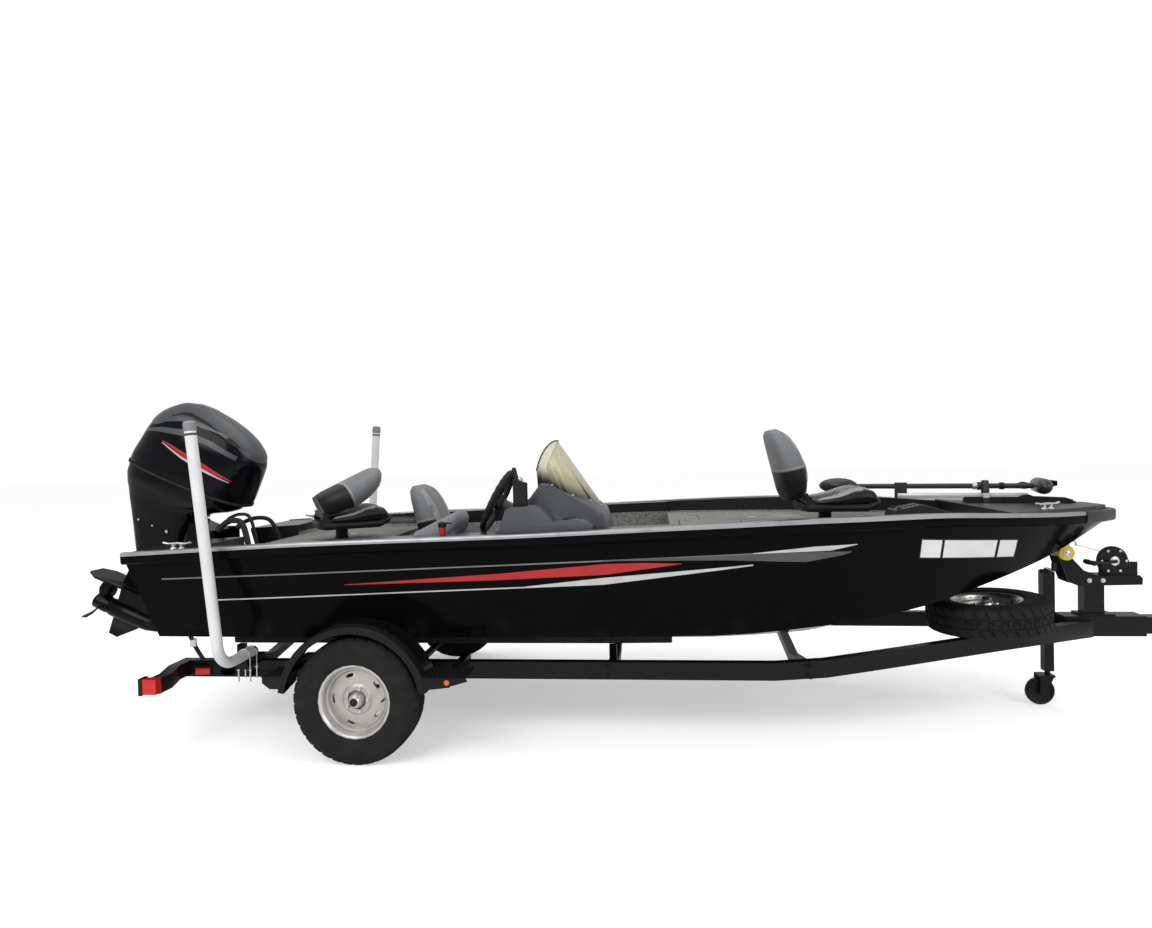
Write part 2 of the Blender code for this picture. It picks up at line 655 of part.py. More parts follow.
def build_steering_wheel():
    """Three-spoke wheel: a rim with a round section, spokes and a hub, tilted to the column."""
    bm = bmesh.new()
    steps, ring_steps = 28, 7
    rows = []
    for i in range(steps):
        a = 2 * math.pi * i / steps
        ring = []
        for j in range(ring_steps):
            b = 2 * math.pi * j / ring_steps
            reach = WHEEL_R + WHEEL_GRIP_R * math.cos(b)
            ring.append(bm.verts.new((reach * math.cos(a), reach * math.sin(a), WHEEL_GRIP_R * math.sin(b))))
        rows.append(ring)
    for i in range(steps):
        for j in range(ring_steps):
            k, m = (i + 1) % steps, (j + 1) % ring_steps
            bm.faces.new((rows[i][j], rows[k][j], rows[k][m], rows[i][m]))
    wheel = from_bmesh("steering_wheel", bm, "black_plastic")
    extras = [rod("hub", (0, 0, -0.030), (0, 0, 0.022), 0.042, "black_plastic", 24)]
    for angle in (90, 210, 330):
        spoke = box("spoke", (0.02, -0.016, -0.006), (WHEEL_R, 0.016, 0.006), "black_plastic")
        spoke.data.transform(Matrix.Rotation(math.radians(angle), 4, "Z"))
        extras.append(spoke)
    wheel = combine(wheel, extras)
    face = -COLUMN.normalized()
    side = Vector((0, -1, 0))
    basis = Matrix((side, face.cross(side), face)).transposed().to_4x4()
    wheel.data.transform(Matrix.Translation(WHEEL_HUB) @ basis)
    hang_on("axis_steering_wheel", WHEEL_HUB, [wheel])


def wing_z(x):
    return float(np.interp(x, *zip(*WING)))


def build_cockpit_fittings():
    """Throttle control on the armrest, and the extinguisher on the cockpit's side."""
    aft, fore = 1.991, 2.055
    foot = [(x, wing_z(x) + SEAT_GAP) for x in (aft, WING[2][0], fore)]
    outer = -WING_OUT + 0.045
    throttle = prism("throttle_control", foot + [(fore, 1.320), (aft, 1.340)], outer, outer + 0.050, "Y",
                     "black_plastic")
    lever = prism("lever", [(1.995, 1.325), (2.020, 1.325), (2.002, 1.395), (1.985, 1.395)], outer + 0.015,
                  outer + 0.035, "Y", "black_plastic")
    combine(throttle, [lever])
    y = -COCKPIT_HALF + 0.035
    bottle = turned("extinguisher", [(0, 0.0), (0.026, 0.0), (0.031, 0.006), (0.031, 0.125), (0.012, 0.142),
                    (0.012, 0.165), (0, 0.165)], (1.605, y, 0.965), (0, 0, 1), "red_lens", 20)
    bracket = box("bracket", (1.590, -COCKPIT_HALF + SEAT_GAP, 1.01), (1.620, y + 0.005, 1.07), "black_plastic")
    combine(bottle, [bracket])


def seat_cushion(name, x, y, z):
    """Moulded pan under a cushion whose front edge rises, set out from the post."""
    def place(u, v):
        return (0.0, u, v)

    def ring_at(dx, half, low, high, power):
        ring = egg_ring((y, z + (low + high) / 2), (half, (high - low) / 2), 12, power, place)
        return [(x + dx, v, w) for _, v, w in ring]

    aft, fore = PAN
    pan = loft(name, [ring_at(dx, half, low, high, 0.35) for dx, half, low, high in [
        (aft, 0.150, 0.006, PAN_H), (aft + 0.025, PAN_HALF - 0.010, 0.0, PAN_H), (0.190, PAN_HALF, 0.0, PAN_H),
        (fore - 0.015, PAN_HALF - 0.012, 0.026, PAN_H + 0.020), (fore, 0.170, 0.040, PAN_H + 0.018)]], "vinyl_grey")
    pad = loft("pad", [ring_at(dx, half, PAN_H - 0.010, top, 0.5) for dx, top, half in CUSHION_ROWS], "vinyl_grey")
    return combine(pan, [pad])


def seat_hinge(hinge, pan_top):
    """Two ears that rise from the pan behind the cushion, with the pin that carries the back."""
    x, y, z = hinge
    reach = EAR_Y + EAR_T
    pieces = [rod("pin", (x, y - reach, z), (x, y + reach, z), PIN_R, "steel", 16)]
    outline = [(x - 0.020, pan_top - 0.012), (x + 0.022, pan_top - 0.012), (x + 0.015, z + 0.004),
               (x + 0.007, z + 0.014), (x - 0.007, z + 0.014), (x - 0.015, z + 0.004)]
    for side in (-1, 1):
        low, high = sorted((side * EAR_Y, side * reach))
        pieces.append(prism("ear", outline, y + low, y + high, "Y"))
    return pieces


def seat_back(name, hinge, lean):
    """A back that tapers and thins to its top, on a knuckle and web that turn on the hinge pin."""
    x, y, z = hinge
    rings = []
    for dz, front, rear, half in BACK_ROWS:
        rings.append(egg_ring((x + (front + rear) / 2, y), ((front - rear) / 2, half), 16, 0.62,
                              lambda u, v, height=z + dz: (u, v, height)))
    back = loft(name, rings, "vinyl_grey")
    reach = EAR_Y - PIN_CLEAR
    knuckle = rod("knuckle", (x, y - reach, z), (x, y + reach, z), 2 * PIN_R, sides=16)
    web = box("web", (x - 0.030, y - reach + 0.012, z - 0.008), (x + 0.004, y + reach - 0.012, z + 0.030))
    bore = rod("bore", (x, y - 0.3, z), (x, y + 0.3, z), PIN_R + SEAT_GAP, sides=16)
    back = cut(combine(back, [knuckle, web]), [bore])
    turn_about([back], hinge, "Y", math.radians(lean))
    return back


def build_seat(name, x, y, pan_z, folded):
    """Pan, cushion and hinged back of one seat; the hinge's place follows the pan."""
    hinge = (x + SEAT_HINGE[0], y, pan_z + SEAT_HINGE[1])
    base = seat_cushion("seat_" + name + "_base", x, y, pan_z)
    base = combine(base, seat_hinge(hinge, pan_z + PAN_H))
    back = seat_back("seat_" + name + "_back", hinge, BACK_FOLD if folded else BACK_LEAN)
    return base, back, hinge


def build_pedestal_seats():
    for name, x, y, deck_z, rise, swivel, folded in PEDESTALS:
        height = rise - 2 * SEAT_GAP
        turned("seat_" + name + "_post", [(0, 0), (0.090, 0), (0.090, 0.008), (0.044, 0.016), (0.036, 0.030),
               (0.036, height), (0, height)], (x, y, deck_z + SEAT_GAP), (0, 0, 1), "black_plastic", 28)
        pan_z = deck_z + rise
        base, back, hinge = build_seat(name, x, y, pan_z, folded)
        post = Vector((x, y, pan_z))
        turn = Matrix.Rotation(math.radians(swivel), 4, "Z")
        turn_about([base, back], post, "Z", math.radians(swivel))
        hang_on("axis_seat_" + name, post, [base])
        hang_on("axis_seat_" + name + "_back", post + turn @ (Vector(hinge) - post), [back])


def build_cockpit_seats():
    for name, x, y, folded in BENCH_SEATS:
        _, back, hinge = build_seat(name, x, y, BENCH_Z + SEAT_GAP, folded)
        hang_on("axis_seat_" + name + "_back", hinge, [back])


def transom_strip(low, high, thick):
    """Side outline of a plate that lies against the raked transom."""
    return [(transom_x(low) - SEAT_GAP, low), (transom_x(high) - SEAT_GAP, high),
            (transom_x(high) - thick, high), (transom_x(low) - thick, low)]


def build_transom_bracket():
    """Two clamp cheeks on the transom, a bridge between them, the hook over its top and the tilt tube."""
    px, _, pz = PIVOT
    aft = px - 0.022
    cheek = transom_strip(0.640, TRANSOM_TOP, 0.045)[:2] + [
        (transom_x(TRANSOM_TOP), pz + 0.030), (aft, pz + 0.030), (aft, 0.860), (transom_x(0.640) - 0.045, 0.640)]
    clamp = prism("transom_bracket", cheek, -0.150, -0.118, "Y", "cowl_black")
    other = prism("cheek", cheek, 0.118, 0.150, "Y")
    bridge = prism("bridge", transom_strip(0.660, 0.860, 0.030), -0.130, 0.130, "Y")
    hook = box("hook", (transom_x(TRANSOM_TOP) - 0.03, -0.150, TRANSOM_TOP + SEAT_GAP),
               (transom_x(TRANSOM_TOP) + 0.060, 0.150, TRANSOM_TOP + 0.020))
    pin = rod("pin", (px, -0.165, pz), (px, 0.165, pz), TUBE_R, "steel", 16)
    combine(clamp, [other, bridge, hook, pin])


def upright_egg(rows, px, pz, power, steps):
    """Horizontal egg-shaped sections, each given by its height, front, rear and half width."""
    rings = []
    for dz, front, rear, half in rows:
        rings.append(egg_ring((px + (front + rear) / 2, 0.0), ((front - rear) / 2, half), steps, power,
                              lambda u, v, height=pz + dz: (u, v, height)))
    return rings


def build_propeller(origin):
    """Hub with three raked blades whose pitch falls off towards the tip."""
    blades = []
    for k in range(3):
        rows = []
        for j in range(5):
            t = j / 4
            radius = 0.035 + (PROP_R - 0.035) * t
            chord = 0.050 + 0.055 * math.sin(math.pi * min(t * 0.9 + 0.1, 1.0))
            pitch = math.radians(62 - 34 * t)
            lead = Vector((math.cos(pitch), math.sin(pitch), 0)) * chord / 2
            thick = Vector((-math.sin(pitch), math.cos(pitch), 0)) * (0.0035 * (1.4 - t))
            centre = Vector((-0.052 - 0.012 * t, 0, radius))
            rows.append([centre - lead - thick * 0.3, centre - thick, centre + lead - thick * 0.3,
                         centre + lead + thick * 0.3, centre + thick, centre - lead + thick * 0.3])
        blade = loft("blade", rows, "cowl_black")
        blade.data.transform(Matrix.Translation(origin) @ Matrix.Rotation(math.radians(120 * k), 4, "X"))
        blades.append(blade)
    hub = turned("propeller", [(0, 0), (0.046, 0), (0.052, -0.02), (0.048, -0.10), (0, -0.10)], origin,
                 (1, 0, 0), "cowl_black", 24)
    return combine(hub, blades)


def build_outboard():
    """Outboard, drawn upright from its tilt tube and then tilted to rest."""
    px, _, pz = PIVOT
    king = px + STEER_X
    build_transom_bracket()

    swivel = box("swivel_bracket", (king + 0.004, -0.045, pz - 0.34), (king + 0.050, 0.045, pz + 0.06), "cowl_black")
    lug = box("lug", (king + 0.016, -0.105, pz - 0.04), (px + 0.034, 0.105, pz + 0.034))
    bore = rod("bore", (px, -0.2, pz), (px, 0.2, pz), TUBE_R + SEAT_GAP, sides=16)
    tunnel = rod("tunnel", (king, 0, pz - 0.5), (king, 0, pz + 0.3), KING_R + 0.0005)
    swivel = cut(combine(swivel, [lug]), [bore, tunnel])

    cowl = loft("engine_cowl", upright_egg(COWL_ROWS, px, pz, 0.77, 20), "cowl_black")
    leg = loft("outboard_leg", upright_egg(LEG_ROWS, px, pz, 0.77, 16), "cowl_black")
    plate = prism("plate", [(px - 0.64, -0.055), (px - 0.64, 0.055), (px - 0.57, 0.100), (px - 0.24, 0.088),
                  (px - 0.15, 0.020), (px - 0.15, -0.020), (px - 0.24, -0.088), (px - 0.57, -0.100)],
                  pz - 0.525, pz - 0.513)
    case_z = pz + PROP_SHAFT_Z
    case_x = px + GEARCASE_X
    torpedo = turned("torpedo", [(0, 0.31), (0.016, 0.305), (0.034, 0.285), (0.052, 0.22), (0.058, 0.10),
                     (0.056, -0.03), (0.050, -0.055), (0, -0.055)], (case_x, 0, case_z), (1, 0, 0), "cowl_black", 24)
    strut = prism("strut", [(px - 0.18, pz - 0.50), (px - 0.15, case_z), (px - 0.42, case_z - 0.02),
                  (px - 0.44, pz - 0.50)], -0.018, 0.018, "Y")
    skeg = prism("skeg", [(px - 0.20, case_z - 0.02), (px - 0.36, case_z - 0.17), (px - 0.42, case_z - 0.165),
                 (px - 0.43, case_z - 0.02)], -0.005, 0.005, "Y")
    yoke = box("yoke", (king - 0.044, -0.035, pz + 0.072), (king + 0.046, 0.035, pz + 0.124))
    lower_yoke = box("lower_yoke", (king - 0.074, -0.035, pz - 0.40), (king + 0.046, 0.035, pz - 0.355))
    leg = combine(leg, [plate, torpedo, strut, skeg, yoke, lower_yoke])
    slot = box("slot", (king - 0.039, -0.20, pz - 0.352), (king + 0.216, 0.20, pz + 0.070))
    leg = combine(cut(leg, [slot]), [rod("king_pin", (king, 0, pz - 0.38), (king, 0, pz + 0.11), KING_R)])
    prop_at = (case_x - 0.055 - SEAT_GAP, 0, case_z)
    propeller = build_propeller(prop_at)

    turn_about([swivel, cowl, leg, propeller], PIVOT, "Y", REST_TILT)
    turn = Matrix.Translation(PIVOT) @ Matrix.Rotation(REST_TILT, 4, "Y") @ Matrix.Translation(-Vector(PIVOT))
    hang_on("axis_outboard_tilt", PIVOT, [swivel])
    hang_on("axis_outboard_steer", turn @ Vector((king, 0, pz)), [cowl, leg])
    hang_on("axis_propeller", turn @ Vector(prop_at), [propeller])


def build_trolling_base():
    """Channel with low side walls and a bevelled nose, where the motor lies when it is stowed."""
    x, y, z = ARM_PIVOT
    inner = ARM_HALF + CHEEK_GAP
    outer = inner + CHEEK_T
    low = BOW_CAP_TOP + SEAT_GAP
    aft, fore = x - 0.320, x + 0.245
    base = prism("trolling_base", [(aft, y - outer), (fore - 0.015, y - outer), (fore, y - inner * 0.4),
                 (fore, y + inner * 0.4), (fore - 0.015, y + outer), (aft, y + outer)], low, low + 0.008, "Z",
                 "black_plastic")
    wall = [(aft, low), (fore - 0.020, low), (fore - 0.020, low + 0.018), (fore - 0.045, low + 0.026), (x + 0.045, low + 0.032),
            (x + 0.016, z + 0.009), (x - 0.016, z + 0.009), (x - 0.045, low + 0.032), (aft, low + 0.032)]
    walls = []
    for side in (-1, 1):
        near, far = sorted((side * inner, side * outer))
        walls.append(prism("wall", wall, y + near, y + far, "Y"))
    pin = rod("pin", (x, y - outer, z), (x, y + outer, z), 0.006, "steel", 12)
    return combine(base, walls + [pin])


def build_trolling_motor():
    """Bow motor stowed on its base: arms from the pivot, shaft in their fork, head and pod at its ends."""
    x, y, z = ARM_PIVOT
    base = build_trolling_base()
    cx = x - ARM_LEN
    arms = box("trolling_arms", (cx - 0.02, y - ARM_HALF, z - ARM_H), (x + 0.012, y + ARM_HALF, z + ARM_H), "aluminium",
               0.004)
    bore = rod("bore", (x, y - 0.1, z), (x, y + 0.1, z), 0.0063, sides=12)
    slot = box("slot", (cx - 0.1, y - 0.016, z - 0.1), (cx + 0.05, y + 0.016, z + 0.1))
    arms = cut(arms, [bore, slot])
    shaft_z = z + SHAFT_UP
    pod_x = cx + ARM_LEN + POD_CLEAR
    shaft = rod("trolling_shaft", (cx - HEAD_DIST + 0.05, y, shaft_z), (pod_x, y, shaft_z), SHAFT_R, "black_plastic", 16)
    collar = box("collar", (cx - 0.035, y - SHAFT_R, z - 0.014), (cx + 0.035, y + SHAFT_R, shaft_z + 0.022))
    head = ball("head", (cx - HEAD_DIST + 0.02, y, shaft_z + 0.005), (0.115, 0.060, 0.048), "pod_grey", 8)
    pod = turned("pod", [(0, -0.150), (0.020, -0.146), (0.034, -0.125), (POD_R, -0.075), (POD_R, 0.100), (0.036, 0.130),
                 (0, 0.130)], (pod_x, y, shaft_z), (0, 1, 0), "pod_grey", 20)
    shaft = combine(shaft, [collar, head, pod])
    hub = (pod_x, y + 0.130 + SEAT_GAP, shaft_z)
    prop = turned("trolling_prop", [(0, 0), (0.032, 0), (0.030, 0.03), (0.012, 0.05), (0, 0.05)], hub, (0, 1, 0),
                  "black_plastic", 16)
    blades = []
    for k in (0, 1):
        blade = prism("blade", [(-0.012, 0.022), (0.012, 0.022), (0.024, 0.070), (0.012, 0.108), (-0.016, 0.104),
                      (-0.022, 0.060)], 0.012, 0.018, "Y")
        blade.data.transform(Matrix.Translation(hub) @ Matrix.Rotation(math.radians(90 + 180 * k), 4, "Y")
                             @ Matrix.Rotation(0.4, 4, "Z"))
        blades.append(blade)
    prop = combine(prop, blades)
    turn_about([base, arms, shaft, prop], ARM_PIVOT, "Z", MOTOR_YAW)
    yaw = Matrix.Translation(ARM_PIVOT) @ Matrix.Rotation(MOTOR_YAW, 4, "Z") @ Matrix.Translation(-Vector(ARM_PIVOT))
    hang_on("axis_trolling_arm", ARM_PIVOT, [arms])
    hang_on("axis_trolling_shaft", yaw @ Vector((cx, y, z)), [shaft])
    hang_on("axis_trolling_prop", yaw @ Vector((pod_x, y, shaft_z)), [prop])


def build_foot_pedal():
    """Rocker pedal of the bow motor on its floor plate."""
    low = FRONT_DECK_Z + SEAT_GAP
    prism("foot_pedal", [(3.900, low), (3.900, 1.095), (3.915, 1.122), (4.050, 1.150), (4.195, 1.108), (4.213, 1.075),
          (4.213, low)], -0.370, -0.230, "Y", "black_plastic")


def rail_path(side):
    return [(0.115, side * RAIL_Y, FRAME_Z), (3.250, side * RAIL_Y, FRAME_Z), (3.500, side * 0.565, FRAME_Z + 0.006),
            (3.800, side * 0.470, FRAME_Z + 0.022), (4.475, side * 0.265, FRAME_Z + 0.066),
            (5.020, side * 0.070, FRAME_Z + 0.088)]


def side_box(name, x0, x1, y0, y1, z0, z1, side, finish="frame_black"):
    """A box on one side of the centre line, its y given as distances from it."""
    low, high = sorted((side * y0, side * y1))
    return box(name, (x0, low, z0), (x1, high, z1), finish)


def build_frame():
    """Ladder frame: two rails that converge on the tongue, dropped crossmembers, brackets and flares."""
    tongue_z = FRAME_Z + TONGUE_RISE
    frame = ribbon("trailer_frame", [(4.90, 0, tongue_z), (5.32, 0, tongue_z)], 0.120, TONGUE_H)
    pieces = [ribbon("tongue", [(5.20, 0, tongue_z), (TONGUE_END, 0, tongue_z)], 0.085, 0.090)]
    for side in (-1, 1):
        pieces.append(ribbon("rail", rail_path(side), FRAME_W, FRAME_H))
        middle = sum(LAMP) / 2
        pieces.append(ribbon("flare", [(0.145, side * (RAIL_Y - 0.02), FRAME_Z + 0.006), (0.145, side * 0.720, FRAME_Z + 0.006),
                      (middle, side * 0.860, FRAME_Z + 0.006), (middle, side * 0.955, FRAME_Z + 0.006)], 0.060, 0.075))
        for x in STEP_ARMS:
            pieces.append(side_box("step_arm", x - 0.020, x + 0.020, RAIL_Y - 0.02, 1.000, STEP_TOP - 0.047,
                                   STEP_TOP - STEP_PLATE - SEAT_GAP, side))
        for x in (AXLE_X - 0.33, AXLE_X + 0.33):
            pieces.append(side_box("hanger", x - 0.025, x + 0.025, RAIL_Y - 0.025, RAIL_Y + 0.025, 0.262, 0.310, side))
        pieces.append(side_box("pole_arm", POLE_X - 0.025, POLE_X + 0.025, RAIL_Y - 0.02, 0.780, *POLE_ARM, side))
    for x, half in ((0.300, 0.60), (2.430, 0.60), (3.450, 0.56)):
        pieces.append(ribbon("cross", [(x, -half, FRAME_Z - 0.01), (x, -0.35, FRAME_Z - 0.045), (x, 0, FRAME_Z - 0.10),
                                       (x, 0.35, FRAME_Z - 0.045), (x, half, FRAME_Z - 0.01)], 0.050, 0.050))
    middle_y = sum(BUNK_Y) / 2
    for x in (0.300, 2.430):
        for y in (-middle_y, middle_y):
            seat = bottom_at(x, middle_y - 0.02) - BUNK_DROP - BUNK_T - 0.0009
            pieces.append(box("bunk_post", (x - 0.02, y - 0.020, FRAME_Z - 0.040), (x + 0.02, y + 0.020, seat)))
    plate = JACK_X - JACK_PLATE
    pieces.append(box("jack_plate", (plate - 0.012, -0.180, 0.405), (plate, 0.180, 0.465)))
    return combine(frame, pieces)


def build_bunks():
    """Two carpeted planks that follow the hull's bottom."""
    for side, name in ((-1, "bunk_starboard"), (1, "bunk_port")):
        rings = []
        for x in [0.280] + [s for s in STATIONS if 0.280 < s < 2.750] + [2.750]:
            (y0, z0), (y1, z1) = [(side * y, bottom_at(x, y) - BUNK_DROP) for y in BUNK_Y]
            rings.append([(x, y0, z0 - BUNK_T), (x, y1, z1 - BUNK_T), (x, y1, z1), (x, y0, z0)])
        loft(name, rings, "rubber")


def build_axle():
    """Dropped axle beam on two leaf springs."""
    stub = TRACK_Y - 0.007
    axle = tube("axle", [(AXLE_X, -stub, TYRE_R), (AXLE_X, -0.775, TYRE_R), (AXLE_X, -0.700, AXLE_Z),
                         (AXLE_X, 0.700, AXLE_Z), (AXLE_X, 0.775, TYRE_R), (AXLE_X, stub, TYRE_R)], 0.024,
                "frame_black", 3)
    springs = []
    for side in (-1, 1):
        y = side * RAIL_Y
        spring = ribbon("spring", [(AXLE_X - 0.355, y, 0.2577), (AXLE_X - 0.17, y, 0.2535), (AXLE_X + 0.17, y, 0.2535),
                                   (AXLE_X + 0.355, y, 0.2577)], 0.044, 0.008)
        second = ribbon("second", [(AXLE_X - 0.20, y, 0.2436), (AXLE_X + 0.20, y, 0.2436)], 0.044, 0.007)
        clips = [box("clip", (x - 0.012, y - 0.024, 0.228), (x + 0.012, y + 0.024, 0.256))
                 for x in (AXLE_X - 0.18, AXLE_X, AXLE_X + 0.18)]
        springs.append(combine(spring, [second] + clips))
    return combine(axle, springs)


def wheel_profiles():
    """Radius and height of the tyre and the rim; the rim's disc is dished and stepped."""
    h = TYRE_W / 2
    shoulder, side = TYRE_R - 0.020, RIM_R + 0.080
    tyre = [(RIM_R + 0.0004, -h * 0.70), (RIM_R + 0.035, -h * 0.92), (side, -h), (shoulder, -h * 0.92),
            (TYRE_R - 0.004, -h * 0.70), (TYRE_R, -h * 0.3), (TYRE_R, h * 0.3), (TYRE_R - 0.004, h * 0.70),
            (shoulder, h * 0.92), (side, h), (RIM_R + 0.035, h * 0.92), (RIM_R + 0.0004, h * 0.70)]
    rim = [(0.045, 0.006), (0.105, 0.012), (0.128, 0.002), (0.146, 0.004), (0.150, -h * 0.55), (0.158, -h * 0.74),
           (0.172, -h * 0.86), (0.177, -h * 0.86), (0.174, -h * 0.80), (RIM_R, -h * 0.71), (RIM_R, h * 0.71),
           (0.174, h * 0.80), (0.177, h * 0.86), (0.172, h * 0.86), (0.160, h * 0.72), (0.152, h * 0.50),
           (0.147, 0.022), (0.130, 0.020), (0.108, 0.030), (0.075, 0.026), (0.066, 0.036), (0.045, 0.036)]
    return tyre, rim


def build_wheel(prefix, suffix, centre, axis):
    """Tyre and rim on an axis; the disc has five oblong slots."""
    tyre, rim = wheel_profiles()
    turned(prefix + "tyre" + suffix, tyre, centre, axis, "rubber", WHEEL_STEPS)
    rim_obj = turned(prefix + "rim" + suffix, rim, centre, axis, "wheel_silver", WHEEL_STEPS)
    slots = []
    for k in range(5):
        slot = prism("slot", [(SLOT_R - 0.008, -0.014), (SLOT_R, -0.021), (SLOT_R + 0.008, -0.014),
                              (SLOT_R + 0.008, 0.014), (SLOT_R, 0.021), (SLOT_R - 0.008, 0.014)], -0.03, 0.06)
        slot.data.transform(aimed(centre, axis) @ Matrix.Rotation(math.radians(36 + 72 * k), 4, "Z"))
        slots.append(slot)
    return cut(rim_obj, slots)


def build_running_gear():
    for side, name in ((-1, "_starboard"), (1, "_port")):
        centre = (AXLE_X, side * TRACK_Y, TYRE_R)
        rim = build_wheel("", name, centre, (0, side, 0))
        hub = turned("hub", [(HUB_BORE, -0.040), (0.046, -0.040), (0.0465, 0.020), (0.034, 0.040), (0.032, 0.062),
                             (0, 0.064), (0, 0.0), (HUB_BORE, 0.0)], centre, (0, side, 0), "wheel_silver", 28)
        combine(rim, [hub])
        hang_on("axis_wheel" + name, centre, [bpy.data.objects["tyre" + name], rim])
        build_fender(side, name)


def arch_x(direction, z, radius):
    """Station where the wheel arch reaches a height, fore (+1) or aft (-1) of the axle."""
    return AXLE_X + direction * math.sqrt(radius ** 2 - (z - TYRE_R) ** 2)


def build_fender(side, name):
    """Round arch with two pressed ribs and a turned-down lip, between two step plates with skirts."""
    radius, sheet, drop = TYRE_R + FENDER_GAP, FENDER_SHEET, FENDER_DROP
    near, far = TRACK_Y - 0.080, TRACK_Y + 0.108
    width = far - near
    # radial offset and distance from the inner edge, round the pressed section
    section = [(0, 0), (0, width - 0.066), (0.005, width - 0.060), (0.005, width - 0.048), (0, width - 0.042),
               (0, width - 0.006), (-0.006, width), (-drop, width), (-drop, width - sheet),
               (-0.010, width - sheet), (-sheet, width - 0.010), (-sheet, 0)]
    start, stop = math.asin((0.3625 - TYRE_R) / radius), math.pi - math.asin((0.358 - TYRE_R) / radius)
    rings = []
    steps = 20
    for k in range(steps + 1):
        a = start + (stop - start) * k / steps
        c, s = math.cos(a), math.sin(a)
        rings.append([(AXLE_X + (radius + r) * c, side * (near + out), TYRE_R + (radius + r) * s) for r, out in section])
    fender = loft("fender" + name, rings, "frame_black")
    top, plate = STEP_TOP, STEP_PLATE
    inside = radius - 3 * sheet
    edge = top - plate / 3
    skirts = [
        [(arch_x(1, top, inside), edge), (1.783, edge), (1.792, top - 0.016), (1.679, 0.384), (arch_x(1, 0.374, inside), 0.374)],
        [(arch_x(-1, top, inside), edge), (0.798, edge), (0.798, 0.401), (0.835, 0.373), (arch_x(-1, 0.373, inside), 0.373)],
    ]
    pieces = []
    for direction, outline in zip((1, -1), skirts):
        start_x, end_x = sorted((arch_x(direction, top, inside), outline[1][0]))
        pieces.append(side_box("step", start_x, end_x, near + 0.001, far - 0.002, top - plate, top, side))
        low, high = sorted((side * (far - 0.011), side * (far - 0.006)))
        pieces.append(prism("skirt", outline, low, high, "Y"))
    return combine(fender, pieces)


def build_poles():
    """Guide poles: each lies on its arm, turns up through an elbow and leans aft to its top."""
    for side, name, top_x, top_z in POLES:
        low = POLE_ARM[1] + POLE_R * math.cos(math.pi / 10) + SEAT_GAP
        route = [(POLE_X, side * 0.660, low), (POLE_X, side * (POLE_Y - POLE_BEND), low)]
        for k in (1, 2, 3, 4, 5):
            a = math.pi / 2 * k / 5
            route.append((POLE_X, side * (POLE_Y - POLE_BEND * (1 - math.sin(a))), low + POLE_BEND * (1 - math.cos(a))))
        route.append((top_x, side * POLE_Y, top_z))
        tube(name, route, POLE_R, "white_plastic", 3)


def build_spare():
    """Spare wheel lying on the rails where they converge, in their slope."""
    (aft_x, _, aft_z), (fore_x, _, fore_z) = rail_path(-1)[3:5]
    slope = math.atan2(fore_z - aft_z, fore_x - aft_x)
    x = JACK_X - SPARE_CLEAR - TYRE_R
    rest_z = aft_z + (x - aft_x) * math.tan(slope) + FRAME_H / 2 + 2 * SEAT_GAP
    centre = (x - math.sin(slope) * TYRE_W / 2, -0.160, rest_z + TYRE_W / 2)
    build_wheel("spare_", "", centre, (-math.sin(slope), 0, math.cos(slope)))


def roller_axis():
    """The bow roller's centre, set down from the stem above it."""
    return Vector((ROLLER_X, 0, hull_at(ROLLER_X)[0] - ROLLER_DROP))


def build_winch_stand():
    """Post and channel with two side plates that reach up to the roller's pin."""
    top = FRAME_Z + TONGUE_RISE + TONGUE_H / 2
    web = CHANNEL_Z[1] - 0.006
    post = box("winch_stand", (STAND_X[0], -0.032, top + SEAT_GAP), (STAND_X[1], 0.032, web + 0.002))
    foot = box("foot", (STAND_X[0] - 0.025, -0.052, top + SEAT_GAP), (STAND_X[1] + 0.045, 0.052, top + 0.010))
    floor = box("web", (STAND_X[0], -PLATE_Y[0] - 0.002, web), (5.285, PLATE_Y[0] + 0.002, CHANNEL_Z[1]))
    eye = roller_axis()
    ax, az = eye.x, eye.z
    outline = [(ax - 0.024, az - 0.040), (ax - 0.021, az + 0.010), (ax, az + 0.021), (ax + 0.021, az + 0.010),
               (ax + 0.040, az - 0.034), (5.001, 0.752), (5.076, CHANNEL_Z[1]), (5.290, CHANNEL_Z[1]), (5.305, 0.704),
               (5.302, 0.670), (4.975, 0.665), (4.925, 0.686), (4.910, 0.726)]
    plates = []
    for side in (-1, 1):
        low, high = sorted((side * PLATE_Y[0], side * PLATE_Y[1]))
        plates.append(prism("side", outline, low, high, "Y"))
    bore = rod("bore", (ax, -0.1, az), (ax, 0.1, az), ROLLER_BORE, sides=16)
    return cut(combine(post, [foot, floor] + plates), [bore])


def build_bow_roller():
    """Keel roller with a waist, on a pin through the side plates, and a bell outside each plate."""
    pin_r = ROLLER_BORE - SEAT_GAP
    flange, bell = PLATE_Y[0] - 0.0006, PLATE_Y[1] + 0.0008
    half = [(pin_r, bell), (0.034, bell), (ROLLER_R, bell + 0.008), (ROLLER_R - 0.003, bell + 0.021), (0, bell + 0.024)]
    inner = [(0.022, 0.0), (0.024, 0.022), (0.034, flange), (pin_r, flange)]
    side = inner + half
    profile = [(r, -h) for r, h in reversed(side[1:])] + side
    return turned("bow_roller", profile, roller_axis(), (0, 1, 0), "roller_yellow", 20)


